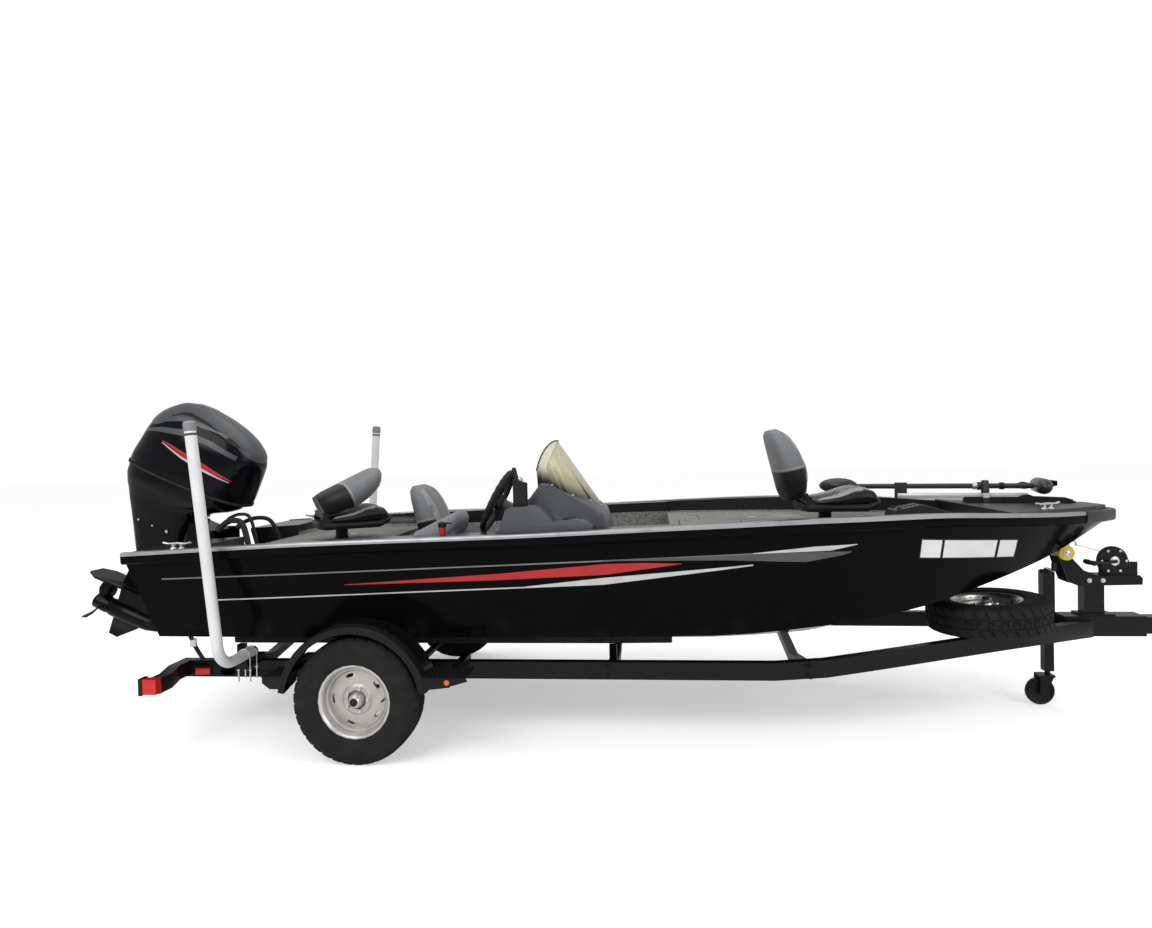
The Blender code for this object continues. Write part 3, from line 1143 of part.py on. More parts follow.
def build_winch():
    """Winch on the channel: side cheeks, drum with its strap, gear cover and crank."""
    low = CHANNEL_Z[1] + SEAT_GAP
    x, z = WINCH_HUB
    winch = box("winch", (5.132, -0.046, low), (5.283, -0.040, 0.795))
    side = box("side", (5.132, 0.040, low), (5.283, 0.046, 0.795))
    floor = box("floor", (5.132, -0.046, low), (5.283, 0.046, low + 0.006))
    drum = rod("drum", (5.200, -0.043, 0.785), (5.200, 0.043, 0.785), 0.045, "webbing", 24)
    cover = turned("cover", [(0, -0.043), (0.070, -0.043), (0.078, -0.050), (0.078, -0.068), (0.066, -0.080), (0, -0.080)],
                   (x, 0, z), (0, 1, 0), "frame_black", 28)
    crank = tube("crank", [(x, -0.078, z), (x, -0.098, z), (x - 0.070, -0.100, z - 0.010), (4.985, -0.100, z + 0.003)],
                 0.009, "frame_black", 2)
    return combine(winch, [side, floor, drum, cover, crank])


def build_jack():
    """Tongue jack: square tube, sliding leg, caster fork and wheel."""
    y, half, leg_half = JACK_Y, JACK_HALF, JACK_LEG_HALF
    outer = box("jack_tube", (JACK_X - half, y - half, 0.360), (JACK_X + half, y + half, JACK_TOP), "frame_black")
    slide = leg_half + SEAT_GAP
    bore = box("bore", (JACK_X - slide, y - slide, 0.30), (JACK_X + slide, y + slide, JACK_TOP - 0.025))
    plate = box("plate", (JACK_X - JACK_PLATE + SEAT_GAP, y - half, 0.400), (JACK_X - half + 0.002, y + half, 0.464))
    combine(cut(outer, [bore]), [plate])
    leg = box("jack_leg", (JACK_X - leg_half, y - leg_half, 0.190), (JACK_X + leg_half, y + leg_half, 0.500))
    leg = combine(leg, [rod("stem", (JACK_X, y, 0.1700), (JACK_X, y, 0.20), 0.014, sides=16)])
    wheel_x, wheel_z = JACK_X - JACK_TRAIL, JACK_WHEEL_R
    fork = box("jack_fork", (JACK_X - 0.055, y - 0.036, 0.158), (JACK_X + 0.025, y + 0.036, 0.1697))
    outline = [(JACK_X - 0.055, 0.165), (JACK_X + 0.020, 0.165), (wheel_x + 0.016, 0.062), (wheel_x - 0.014, 0.062)]
    cheeks = []
    for side in (-1, 1):
        low, high = sorted((side * 0.030, side * 0.036))
        cheeks.append(prism("cheek", outline, y + low, y + high, "Y"))
    pin = rod("pin", (wheel_x, y - 0.034, wheel_z), (wheel_x, y + 0.034, wheel_z), 0.007, sides=12)
    combine(fork, cheeks + [pin])
    wheel = turned("jack_wheel", [(0.0075, -0.022), (0.020, -0.022), (0.022, -0.010), (0.055, -0.010), (0.058, -0.018),
                                  (0.070, -0.020), (JACK_WHEEL_R, -0.010), (JACK_WHEEL_R, 0.010), (0.070, 0.020),
                                  (0.058, 0.018), (0.055, 0.010), (0.022, 0.010), (0.020, 0.022), (0.0075, 0.022)],
                   (wheel_x, y, wheel_z), (0, 1, 0), "rubber", 20)
    hang_on("axis_jack_leg", (JACK_X, y, 0.3), [leg])
    hang_on("axis_jack_fork", (JACK_X, y, 0.15), [fork])
    hang_on("axis_jack_wheel", (wheel_x, y, wheel_z), [wheel])


def build_coupler():
    """Ball coupler over the tongue's end."""
    z = FRAME_Z + TONGUE_RISE
    coupler = prism("coupler", [(TONGUE_END - 0.08, -0.048), (5.98, -0.048), (COUPLER_END - 0.02, -0.034),
                                (COUPLER_END, -0.015), (COUPLER_END, 0.015), (COUPLER_END - 0.02, 0.034),
                                (5.98, 0.048), (TONGUE_END - 0.08, 0.048)], z - 0.040, z + 0.060, "Z")
    inside = box("inside", (TONGUE_END - 0.2, -0.0428, z - 0.1), (TONGUE_END + SEAT_GAP, 0.0428, z + 0.0453))
    socket = rod("socket", (6.010, 0, z - 0.1), (6.010, 0, z + 0.02), 0.028, sides=24)
    return cut(coupler, [inside, socket])


def build_lights():
    """A lamp on the end of each flare."""
    for side, name in ((-1, "tail_light_starboard"), (1, "tail_light_port")):
        side_box(name, *LAMP, 0.955 + SEAT_GAP, 1.000, 0.327, 0.402, side, "red_lens")


def centre_on_origin():
    for obj in bpy.data.objects:
        if obj.parent is None:
            obj.location.x -= MID_STATION


def main():
    global PARTS
    clear_scene()
    PARTS = bpy.data.collections.new("bass_boat")
    bpy.context.scene.collection.children.link(PARTS)
    make_materials()
    build_hull()
    build_gunwale_rail()
    build_deck()
    build_lids()
    build_bow_cap()
    build_windshield(build_console())
    build_steering_wheel()
    build_cockpit_fittings()
    build_pedestal_seats()
    build_cockpit_seats()
    build_outboard()
    build_trolling_motor()
    build_foot_pedal()
    build_frame()
    build_bunks()
    build_axle()
    build_running_gear()
    build_poles()
    build_spare()
    build_winch_stand()
    build_bow_roller()
    build_winch()
    build_jack()
    build_coupler()
    build_lights()
    centre_on_origin()


main()
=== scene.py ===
"""Looks of an open bass boat on its single-axle trailer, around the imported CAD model.

Lengths are metres in the CAD frame. A station is measured forward from the transom, and is X when
MIDSHIP is taken off it. Starboard is negative Y.
"""

import json
import logging
import math
from dataclasses import dataclass
from enum import Enum
from functools import lru_cache
from typing import Callable, Optional, Sequence, Union

import bmesh
import bpy
import numpy as np
from mathutils import Matrix, Vector
from mathutils.bvhtree import BVHTree

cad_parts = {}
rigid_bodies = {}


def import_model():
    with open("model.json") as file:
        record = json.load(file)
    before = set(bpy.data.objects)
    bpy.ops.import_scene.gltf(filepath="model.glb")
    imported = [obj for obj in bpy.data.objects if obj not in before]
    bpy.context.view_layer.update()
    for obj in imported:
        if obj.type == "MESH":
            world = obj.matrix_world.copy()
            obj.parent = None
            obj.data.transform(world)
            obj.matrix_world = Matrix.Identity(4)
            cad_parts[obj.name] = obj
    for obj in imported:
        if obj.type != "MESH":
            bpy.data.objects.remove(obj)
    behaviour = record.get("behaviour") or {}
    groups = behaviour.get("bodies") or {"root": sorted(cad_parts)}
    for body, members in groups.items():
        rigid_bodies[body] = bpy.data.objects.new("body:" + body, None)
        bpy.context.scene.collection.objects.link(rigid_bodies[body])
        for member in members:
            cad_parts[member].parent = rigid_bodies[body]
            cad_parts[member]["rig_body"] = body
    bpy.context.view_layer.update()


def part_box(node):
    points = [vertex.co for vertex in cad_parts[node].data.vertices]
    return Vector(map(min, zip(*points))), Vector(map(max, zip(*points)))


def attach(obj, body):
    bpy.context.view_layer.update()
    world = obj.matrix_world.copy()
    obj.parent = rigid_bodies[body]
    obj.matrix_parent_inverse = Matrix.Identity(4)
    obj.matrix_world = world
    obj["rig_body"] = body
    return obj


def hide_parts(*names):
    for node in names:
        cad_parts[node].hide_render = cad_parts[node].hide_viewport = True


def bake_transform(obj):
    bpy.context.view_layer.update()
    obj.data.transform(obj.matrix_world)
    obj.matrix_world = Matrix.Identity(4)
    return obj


LOG = logging.getLogger("bass_boat")
MIDSHIP = 2.597
UP, DOWN = (0, 0, 1), (0, 0, -1)

# FLIP takes a point to the other side. SIDES holds the sign of Y on each side, and MIRRORS what a
# starboard shape is multiplied by to stand there.
FLIP = np.array([1, -1, 1])
SIDES = (("starboard", -1), ("port", 1))
MIRRORS = (("starboard", 1), ("port", FLIP))

Colour = tuple[float, float, float]
Value = Union["Wire", float]


# Shader maths


def _binary(operation: str, flipped: bool = False) -> Callable[["Wire", Value], "Wire"]:
    """An operator method that adds one Math node.

    Args:
        operation: the Math node's operation.
        flipped: True where the wire stands right of the operator.

    Returns:
        The method.
    """
    def method(self: "Wire", other: Value) -> "Wire":
        """The Math node's result."""
        return self.bench.math(operation, *((other, self) if flipped else (self, other)))
    return method


class Wire:
    """One shader socket in an expression; each operator adds a Math node."""

    __add__, __radd__ = _binary("ADD"), _binary("ADD", True)
    __sub__, __rsub__ = _binary("SUBTRACT"), _binary("SUBTRACT", True)
    __mul__, __rmul__ = _binary("MULTIPLY"), _binary("MULTIPLY", True)
    __truediv__, __rtruediv__ = _binary("DIVIDE"), _binary("DIVIDE", True)
    __gt__, __lt__ = _binary("GREATER_THAN"), _binary("LESS_THAN")
    __pow__ = _binary("POWER")

    def __init__(self, bench: "Bench", socket: bpy.types.NodeSocket) -> None:
        """Keep the socket and the bench that it belongs to."""
        self.bench, self.socket = bench, socket

    def __abs__(self) -> "Wire":
        """The absolute value."""
        return self.bench.math("ABSOLUTE", self)


class Bench:
    """One material with its shader and the nodes that feed it."""

    def __init__(self, name: str) -> None:
        """Open an empty material of that name."""
        self.material = bpy.data.materials.new(name)
        self.material.use_nodes = True
        self.tree = self.material.node_tree
        self.shader = self.tree.nodes["Principled BSDF"]

    def node(self, kind: str, settings: Optional[dict] = None,
             sockets: Optional[dict] = None) -> bpy.types.Node:
        """Add any node.

        Args:
            kind: the node's type.
            settings: properties set before its sockets.
            sockets: a value or a wire for each socket, by name or number.

        Returns:
            The node.
        """
        made = self.tree.nodes.new(kind)
        for key, value in (settings or {}).items():
            setattr(made, key, value)
        for key, value in (sockets or {}).items():
            self.feed(made.inputs[key], value)
        return made

    def feed(self, socket: bpy.types.NodeSocket, value: object) -> None:
        """Link a wire to the socket, or set a plain value on it."""
        if isinstance(value, Wire):
            self.tree.links.new(value.socket, socket)
        else:
            socket.default_value = value

    def math(self, operation: str, *values: Value) -> Wire:
        """One Math node's result."""
        made = self.node("ShaderNodeMath", {"operation": operation}, dict(enumerate(values)))
        return Wire(self, made.outputs[0])

    def step(self, value: Value, low: float, high: float) -> Wire:
        """A smooth rise from 0 at low to 1 at high."""
        made = self.node("ShaderNodeMapRange", {"interpolation_type": "SMOOTHSTEP"},
                         {"Value": value, "From Min": low, "From Max": high})
        return Wire(self, made.outputs[0])

    def place(self, stretch: Sequence[float] = (1, 1, 1), centre: Sequence[float] = (0, 0, 0)) -> Wire:
        """Object coordinates about a centre, stretched by a factor on each axis."""
        source = Wire(self, self.node("ShaderNodeTexCoord").outputs["Object"])
        shifted = self.node("ShaderNodeVectorMath", {"operation": "SUBTRACT"}, {0: source, 1: centre})
        scaled = self.node("ShaderNodeVectorMath", {"operation": "MULTIPLY"},
                           {0: Wire(self, shifted.outputs[0]), 1: stretch})
        return Wire(self, scaled.outputs[0])

    def axes(self, centre: Sequence[float] = (0, 0, 0)) -> list[Wire]:
        """X, Y and Z of the object coordinates about a centre."""
        split = self.node("ShaderNodeSeparateXYZ", {}, {0: self.place(centre=centre)})
        return [Wire(self, out) for out in split.outputs]

    def noise(self, scale: float, detail: float = 3.0, stretch: Sequence[float] = (1, 1, 1)) -> Wire:
        """Soft noise from 0 to 1 on the object coordinates."""
        made = self.node("ShaderNodeTexNoise", {},
                         {"Vector": self.place(stretch), "Scale": scale, "Detail": detail})
        return Wire(self, made.outputs[0])

    def cells(self, scale: float, stretch: Sequence[float] = (1, 1, 1)) -> Wire:
        """Distance to the nearest cell point, as on grained leather."""
        made = self.node("ShaderNodeTexVoronoi", {}, {"Vector": self.place(stretch), "Scale": scale})
        return Wire(self, made.outputs["Distance"])

    def blend(self, mask: Value, low: object, high: object) -> Wire:
        """A colour between low and high."""
        low, high = [c if isinstance(c, Wire) else (*c, 1.0) for c in (low, high)]
        made = self.node("ShaderNodeMix", {"data_type": "RGBA"}, {0: mask, 6: low, 7: high})
        return Wire(self, made.outputs[2])

    def bump(self, height: Value, distance: float, strength: float = 1.0) -> None:
        """Raise the surface by a height map whose full range is distance metres."""
        made = self.node("ShaderNodeBump", {}, {"Height": height, "Distance": distance, "Strength": strength})
        self.feed(self.shader.inputs["Normal"], Wire(self, made.outputs[0]))

    def coat(self, **sockets: object) -> bpy.types.Material:
        """Feed the shader's sockets, named with _ for a space, and return the material."""
        for key, value in sockets.items():
            if isinstance(value, tuple) and len(value) == 3:
                value = (*value, 1.0)
            self.feed(self.shader.inputs[key.replace("_", " ")], value)
        return self.material


# Finishes


def shade(colour: Colour, factor: float) -> Colour:
    """The colour made lighter or darker."""
    return tuple(min(1.0, c * factor) for c in colour)


@dataclass(frozen=True)
class Gelcoat:
    """Gloss paint with a faint swirl and some road dust near the ground."""

    name: str
    colour: Colour
    rough: float = 0.1
    specular: float = 0.22
    dust_colour: Colour = (0.23, 0.21, 0.19)
    dust_heights: tuple[float, float] = (0.25, 0.75)
    dust_most: float = 0.12
    peel: float = 0.00006

    def paint(self, bench: Bench) -> bpy.types.Material:
        """Cloudy colour, a hint of orange peel and dust that thickens downwards."""
        cloud = bench.noise(3.0, 5.0)
        low = 1 - bench.step(bench.axes()[2], *self.dust_heights)
        dust = low * bench.step(bench.noise(9.0, 6.0), 0.45, 0.8) * self.dust_most
        colour = bench.blend(cloud, shade(self.colour, 0.8), shade(self.colour, 1.25))
        bench.bump(bench.noise(240.0, 2.0), self.peel)
        return bench.coat(Base_Color=bench.blend(dust, colour, self.dust_colour),
                          Roughness=self.rough + dust * 2 + cloud * 0.05, Specular_IOR_Level=self.specular)


@dataclass(frozen=True)
class Powder:
    """Satin powder coat or moulded plastic with a fine grain."""

    name: str
    colour: Colour
    rough: float = 0.45
    metal: float = 0.0
    grain: float = 900.0
    depth: float = 0.00012
    specular: float = 0.4

    def paint(self, bench: Bench) -> bpy.types.Material:
        """Fine stipple, mottled sheen and slightly rubbed high spots."""
        cloud, stipple = bench.noise(7.0, 5.0), bench.noise(self.grain, 2.0)
        colour = bench.blend(cloud, shade(self.colour, 0.82), shade(self.colour, 1.2))
        worn = bench.step(bench.noise(28.0, 6.0), 0.66, 0.82) * 0.3
        bench.bump(stipple, self.depth)
        return bench.coat(Base_Color=bench.blend(worn, colour, shade(self.colour, 1.7)),
                          Roughness=self.rough + (cloud - 0.5) * 0.16, Metallic=self.metal,
                          Specular_IOR_Level=self.specular)


@dataclass(frozen=True)
class Carpet:
    """Speckled marine carpet: light and dark fibres over a mid tone."""

    name: str
    colour: Colour
    light: Colour
    dark: Colour = (0.03, 0.03, 0.032)
    pile: float = 0.0016

    def speckle(self, bench: Bench) -> tuple[Wire, Wire]:
        """The colour from two sizes of speckle, and the height of the pile from 0 to 1."""
        fine, coarse = bench.noise(420.0, 3.0), bench.noise(110.0, 4.0)
        colour = bench.blend(bench.step(fine, 0.5, 0.68), self.colour, self.light)
        colour = bench.blend(bench.step(coarse, 0.5, 0.66) * 0.75, colour, self.dark)
        return colour, fine * 0.6 + coarse * 0.4

    def paint(self, bench: Bench) -> bpy.types.Material:
        """Speckle over a short pile, worn pale in patches."""
        colour, height = self.speckle(bench)
        worn = bench.step(bench.noise(4.0, 4.0), 0.5, 0.75) * 0.35
        bench.bump(height, self.pile)
        return bench.coat(Base_Color=bench.blend(worn, colour, shade(self.light, 0.8)), Roughness=0.95,
                          Specular_IOR_Level=0.12)


def leather(bench: Bench) -> tuple[Wire, Wire]:
    """The grain and the creases that all vinyl shares, each from 0 to 1."""
    return bench.cells(520.0), bench.noise(34.0, 7.0)


@dataclass(frozen=True)
class Vinyl:
    """Grained marine vinyl."""

    name: str
    colour: Colour

    def paint(self, bench: Bench) -> bpy.types.Material:
        """Leather cells, faint creases and a sheen that varies where people sit."""
        grain, crease = leather(bench)
        colour = bench.blend(bench.step(grain, 0.2, 0.9), shade(self.colour, 1.12), shade(self.colour, 0.72))
        bench.bump(grain * 0.5 + crease * 0.5, 0.0006)
        return bench.coat(Base_Color=bench.blend(crease * 0.4, colour, shade(self.colour, 1.3)),
                          Roughness=0.42 + crease * 0.2, Specular_IOR_Level=0.4)


@dataclass(frozen=True)
class Metal:
    """Bare or painted metal with brush marks along one axis."""

    name: str
    colour: Colour
    rough: float = 0.28
    metal: float = 0.95
    stretch: tuple[float, float, float] = (0.15, 1.0, 1.0)

    def paint(self, bench: Bench) -> bpy.types.Material:
        """Stretched scratches in sheen and height over slightly stained metal."""
        scratch, stain = bench.noise(700.0, 3.0, self.stretch), bench.noise(12.0, 6.0)
        colour = bench.blend(bench.step(stain, 0.4, 0.75) * 0.5, self.colour, shade(self.colour, 0.62))
        bench.bump(scratch, 0.00008)
        return bench.coat(Base_Color=colour, Roughness=self.rough + scratch * 0.14 + stain * 0.08,
                          Metallic=self.metal)


@dataclass(frozen=True)
class Rubber:
    """Weathered rubber with dust in its pores."""

    name: str
    colour: Colour = (0.018, 0.017, 0.016)
    dust: float = 0.010

    def paint(self, bench: Bench) -> bpy.types.Material:
        """Dusty bloom over fine pores."""
        bloom, pore = bench.noise(14.0, 6.0), bench.noise(600.0, 3.0)
        dusty = tuple(0.6 * c + self.dust for c in self.colour)
        bench.bump(pore, 0.0002)
        return bench.coat(Base_Color=bench.blend(bench.step(bloom, 0.35, 0.8), self.colour, dusty),
                          Roughness=0.72 + pore * 0.15, Specular_IOR_Level=0.25)


@dataclass(frozen=True)
class Screen:
    """Smoky yellow acrylic whose foot is nearly black."""

    name: str
    dark_below: float
    fade: float = 0.045
    tint: Colour = (0.62, 0.57, 0.36)
    dark: Colour = (0.03, 0.032, 0.036)

    def paint(self, bench: Bench) -> bpy.types.Material:
        """Alpha and tint fall from a pale top to the dark foot, with fine wipe marks."""
        x, _, z = bench.axes()
        foot = 1 - bench.step(z + x * 0.5, self.dark_below - self.fade, self.dark_below + self.fade)
        wipe = bench.noise(60.0, 4.0, (1.0, 1.0, 0.2))
        bench.bump(wipe, 0.00004)
        return bench.coat(Base_Color=bench.blend(foot, self.tint, self.dark),
                          Alpha=0.42 + foot * 0.5 + wipe * 0.08, Roughness=0.06 + wipe * 0.1)


EVEN = (1.0, 1.0, 1.0)

# The record's material slots, each with the finishes that belong to it
SLOTS = {
    "hull_gloss": ("HULL", "STRIPE_SILVER", "STRIPE_GREY", "STRIPE_BROWN"),
    "deck_grey": ("CARPET", "BUNK"),
    "moulded_grey": ("TRIM", "CONSOLE", "GREY_CAP"),
    "aluminium": ("SILVER", "RAIL", "STEEL"),
    "frame_black": ("FRAME",),
    "vinyl_grey": ("SEAT",),
    "black_plastic": ("PLASTIC", "POD", "GLASS"),
    "cowl_black": ("COWL", "CAP"),
    "rubber": ("RUBBER", "WEBBING", "STRAP"),
    "tyre": ("TYRE",),
    "wheel_silver": ("WHEEL",),
    "smoked_clear": ("SCREEN",),
    "white_plastic": ("PEARL", "PLATE"),
    "red_lens": ("RED", "RED_PAINT", "AMBER"),
    "roller_yellow": ("YELLOW",),
}


class Tone(Enum):
    """Every finish on the boat and its trailer."""

    HULL = Gelcoat("black_gelcoat", (0.0022, 0.0023, 0.0026), specular=0.04)
    COWL = Gelcoat("cowl_gloss_black", (0.0022, 0.0026, 0.0036), rough=0.12, specular=0.12)
    RED_PAINT = Gelcoat("red_paint", (0.42, 0.012, 0.014), rough=0.2, specular=0.4)
    TRIM = Powder("satin_charcoal", (0.020, 0.021, 0.024), rough=0.38, depth=0.0001, specular=0.3)
    CAP = Powder("cowl_cap_grey", (0.055, 0.059, 0.064), rough=0.3, depth=0.00006, specular=0.3)
    CONSOLE = Powder("console_grey", (0.060, 0.063, 0.070), rough=0.38)
    FRAME = Powder("black_powder_coat", (0.0055, 0.0055, 0.006), rough=0.34, grain=500.0, depth=0.00008,
                   specular=0.2)
    PLASTIC = Powder("black_plastic", (0.007, 0.007, 0.0075), rough=0.42, specular=0.25)
    PEARL = Powder("white_pole_plastic", (0.70, 0.70, 0.71), rough=0.4, grain=300.0, depth=0.00005)
    GREY_CAP = Powder("grey_end_cap", (0.20, 0.20, 0.21), rough=0.5)
    POD = Powder("motor_head_grey", (0.030, 0.031, 0.034), rough=0.3, metal=0.2)
    YELLOW = Powder("yellow_roller", (0.72, 0.50, 0.03), rough=0.4, grain=200.0, depth=0.0001)
    RED = Powder("red_lens", (0.55, 0.015, 0.012), rough=0.15, grain=160.0, depth=0.0002)
    AMBER = Powder("amber_lens", (0.75, 0.13, 0.01), rough=0.15, grain=160.0, depth=0.0002)
    PLATE = Powder("pale_plate", (0.72, 0.72, 0.71), rough=0.4, grain=120.0, depth=0.00005)
    GLASS = Powder("gauge_glass", (0.010, 0.012, 0.016), rough=0.08)
    SILVER = Metal("silver_paint", (0.60, 0.61, 0.63), rough=0.3, metal=0.8)
    RAIL = Metal("aluminium_rail", (0.42, 0.43, 0.45), rough=0.25)
    STEEL = Metal("bright_steel", (0.66, 0.67, 0.68), rough=0.2)
    WHEEL = Metal("warm_silver_wheel", (0.52, 0.50, 0.47), rough=0.3, metal=0.75, stretch=EVEN)
    STRIPE_SILVER = Metal("silver_film", (0.56, 0.56, 0.57), rough=0.35, metal=0.3, stretch=EVEN)
    STRIPE_GREY = Metal("grey_film", (0.20, 0.20, 0.21), rough=0.35, metal=0.3, stretch=EVEN)
    STRIPE_BROWN = Metal("brown_grey_film", (0.085, 0.078, 0.078), rough=0.35, metal=0.3, stretch=EVEN)
    CARPET = Carpet("speckled_carpet", (0.17, 0.165, 0.155), (0.55, 0.53, 0.50))
    BUNK = Carpet("bunk_carpet", (0.030, 0.030, 0.032), (0.10, 0.10, 0.10))
    SEAT = Vinyl("grey_vinyl", (0.150, 0.155, 0.163))
    WEBBING = Vinyl("black_webbing", (0.014, 0.014, 0.015))
    STRAP = Vinyl("pale_webbing", (0.45, 0.43, 0.39))
    RUBBER = Rubber("black_rubber")
    TYRE = Rubber("tyre_rubber", (0.009, 0.0085, 0.008))
    SCREEN = Screen("smoked_screen", dark_below=1.125)

    @property
    def material(self) -> bpy.types.Material:
        """This finish as a Blender material, made once."""
        return make_material(self)

    @property
    def slot(self) -> str:
        """The record's material slot that this finish belongs to."""
        return next(slot for slot, names in SLOTS.items() if self.name in names)


@lru_cache(maxsize=None)
def make_material(tone: Tone) -> bpy.types.Material:
    """Build a finish's material the first time that it is asked for."""
    return tone.value.paint(Bench(tone.value.name))


# Surfaces


def ring_faces(rows: int, cols: int) -> np.ndarray:
    """Quads between rings of points, each ring closed on itself."""
    r, c = np.meshgrid(np.arange(rows - 1), np.arange(cols), indexing="ij")
    d = (c + 1) % cols
    return np.stack([r * cols + c, r * cols + d, (r + 1) * cols + d, (r + 1) * cols + c], -1).reshape(-1, 4)


def shell_faces(rows: int, cols: int, caps: bool = True) -> list:
    """Quads between rings, with one face over each end ring where caps is set."""
    ends = [list(range(cols)), list(range((rows - 1) * cols, rows * cols))] if caps else []
    return ring_faces(rows, cols).tolist() + ends


def place(name: str, verts: np.ndarray, faces: list, tone: Tone, body: str,
          angle: float = 38.0) -> bpy.types.Object:
    """Put whole arrays into a new piece.

    Args:
        name: the piece's name.
        verts: its points, one row each.
        faces: lists of point numbers.
        tone: its finish.
        angle: edges sharper than this many degrees stay crisp.

    Returns:
        The piece, with its faces turned outwards.
    """
    mesh = bpy.data.meshes.new(name)
    mesh.from_pydata(verts.reshape(-1, 3).tolist(), [], faces)
    return settle(name, mesh, tone, body, angle)


def settle(name: str, mesh: bpy.types.Mesh, tone: Tone, body: str, angle: float) -> bpy.types.Object:
    """Weld a mesh, turn it outwards, finish it and let it ride on its body."""
    work = bmesh.new()
    work.from_mesh(mesh)
    bmesh.ops.remove_doubles(work, verts=work.verts, dist=1e-5)
    bmesh.ops.recalc_face_normals(work, faces=work.faces)
    work.to_mesh(mesh)
    work.free()
    mesh.shade_smooth()
    mesh.set_sharp_from_angle(angle=math.radians(angle))
    mesh.materials.clear()
    mesh.materials.append(tone.material)
    piece = bpy.data.objects.new(name, mesh)
    bpy.context.scene.collection.objects.link(piece)
    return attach(piece, body) if body else piece


def skin(name: str, rings: np.ndarray, tone: Tone, body: str, angle: float = 38.0,
         caps: bool = True) -> bpy.types.Object:
    """A closed surface over rings of points.

    Args:
        name: the piece's name.
        rings: an array of rings by points by 3.
        tone: its finish.
        body: its CAD body.
        angle: edges sharper than this stay crisp.
        caps: whether the end rings are filled. They aren't where the last ring is the first again.

    Returns:
        The piece.
    """
    return place(name, rings, shell_faces(*rings.shape[:2], caps), tone, body, angle)


def smooth_line(points: Sequence[Sequence[float]], count: int) -> np.ndarray:
    """A line through the points at even steps: each span is a cubic with Catmull-Rom tangents."""
    knots = np.asarray(points, float)
    padded = np.vstack([2 * knots[0] - knots[1], knots, 2 * knots[-1] - knots[-2]])
    t = np.linspace(0, len(knots) - 1, count)
    i = np.minimum(t.astype(int), len(knots) - 2)
    f = (t - i)[:, None]
    a, b, c, d = (padded[i + k] for k in range(4))
    return 0.5 * (2 * b + (c - a) * f + (2 * a - 5 * b + 4 * c - d) * f**2 + (3 * b - a - 3 * c + d) * f**3)


def carried(path: np.ndarray, outline: np.ndarray, up: Sequence[float]) -> np.ndarray:
    """An outline carried along a path.

    Each point is the path's point, plus the outline's first number across it and its second
    towards up, both square to the path's tangent.

    Args:
        path: points by 3.
        outline: points by 2, or path points by outline points by 2.
        up: the direction that the outline's second number follows.

    Returns:
        Path points by outline points by 3.
    """
    tangent = np.gradient(path, axis=0)
    tangent /= np.linalg.norm(tangent, axis=1, keepdims=True)
    across = np.cross(tangent, np.asarray(up, float))
    across /= np.linalg.norm(across, axis=1, keepdims=True)
    rise = np.cross(across, tangent)
    shape = np.broadcast_to(outline, (len(path), *outline.shape[-2:]))
    return path[:, None] + shape[..., :1] * across[:, None] + shape[..., 1:] * rise[:, None]


def once_round(steps: int) -> np.ndarray:
    """Angles at even steps once round, without the last, which is the first again."""
    return np.linspace(0, 2 * math.pi, steps, endpoint=False)


def circle(radius: float, steps: int = 24) -> np.ndarray:
    """Points round a circle as (across, up)."""
    a = once_round(steps)
    return radius * np.stack([np.cos(a), np.sin(a)], -1)


def squared(share: np.ndarray, power: float) -> np.ndarray:
    """A sine or cosine raised to a power with its sign kept, which squares a circle off where power < 1."""
    return np.sign(share) * np.abs(share)**power


def flattest(path: np.ndarray) -> np.ndarray:
    """The direction in which a bent path varies least."""
    return np.linalg.svd(path - path.mean(0))[2][2]


def turn_to(axis: Sequence[float]) -> np.ndarray:
    """The turn that takes +Z to an axis, as a 3 by 3 array."""
    return np.array(Vector(UP).rotation_difference(Vector(axis)).to_matrix())


def tube(name: str, path: np.ndarray, radius: float, tone: Tone, body: str,
         steps: int = 20) -> bpy.types.Object:
    """A round tube along a path."""
    return skin(name, carried(path, circle(radius, steps), flattest(path)), tone, body)


def turned(name: str, profile: Sequence[Sequence[float]], centre: Sequence[float], axis: Sequence[float],
           tone: Tone, body: str, steps: int = 48, angle: float = 38.0,
           caps: bool = True) -> bpy.types.Object:
    """A profile of (radius, height) turned about an axis through the centre.

    Args:
        name: the piece's name.
        profile: radius and height along the axis, from one end to the other.
        centre: a point on the axis, where height is 0.
        axis: the axis' direction.
        tone: its finish.
        body: its CAD body.
        steps: points round the axis.
        angle: edges sharper than this stay crisp.
        caps: False where the profile ends on its first point again.

    Returns:
        The piece.
    """
    return skin(name, turned_rings(profile, centre, axis, steps), tone, body, angle, caps)


def turned_rings(profile: Sequence[Sequence[float]], centre: Sequence[float], axis: Sequence[float],
                 steps: int) -> np.ndarray:
    """Rings of a turned profile: centre + height along the axis + radius round it."""
    rows = np.asarray(profile, float)
    flat = rows[:, None, :1] * circle(1.0, steps)[None]
    high = np.broadcast_to(rows[:, None, 1:], (len(rows), steps, 1))
    return np.concatenate([flat, high], -1) @ turn_to(axis).T + np.asarray(centre, float)


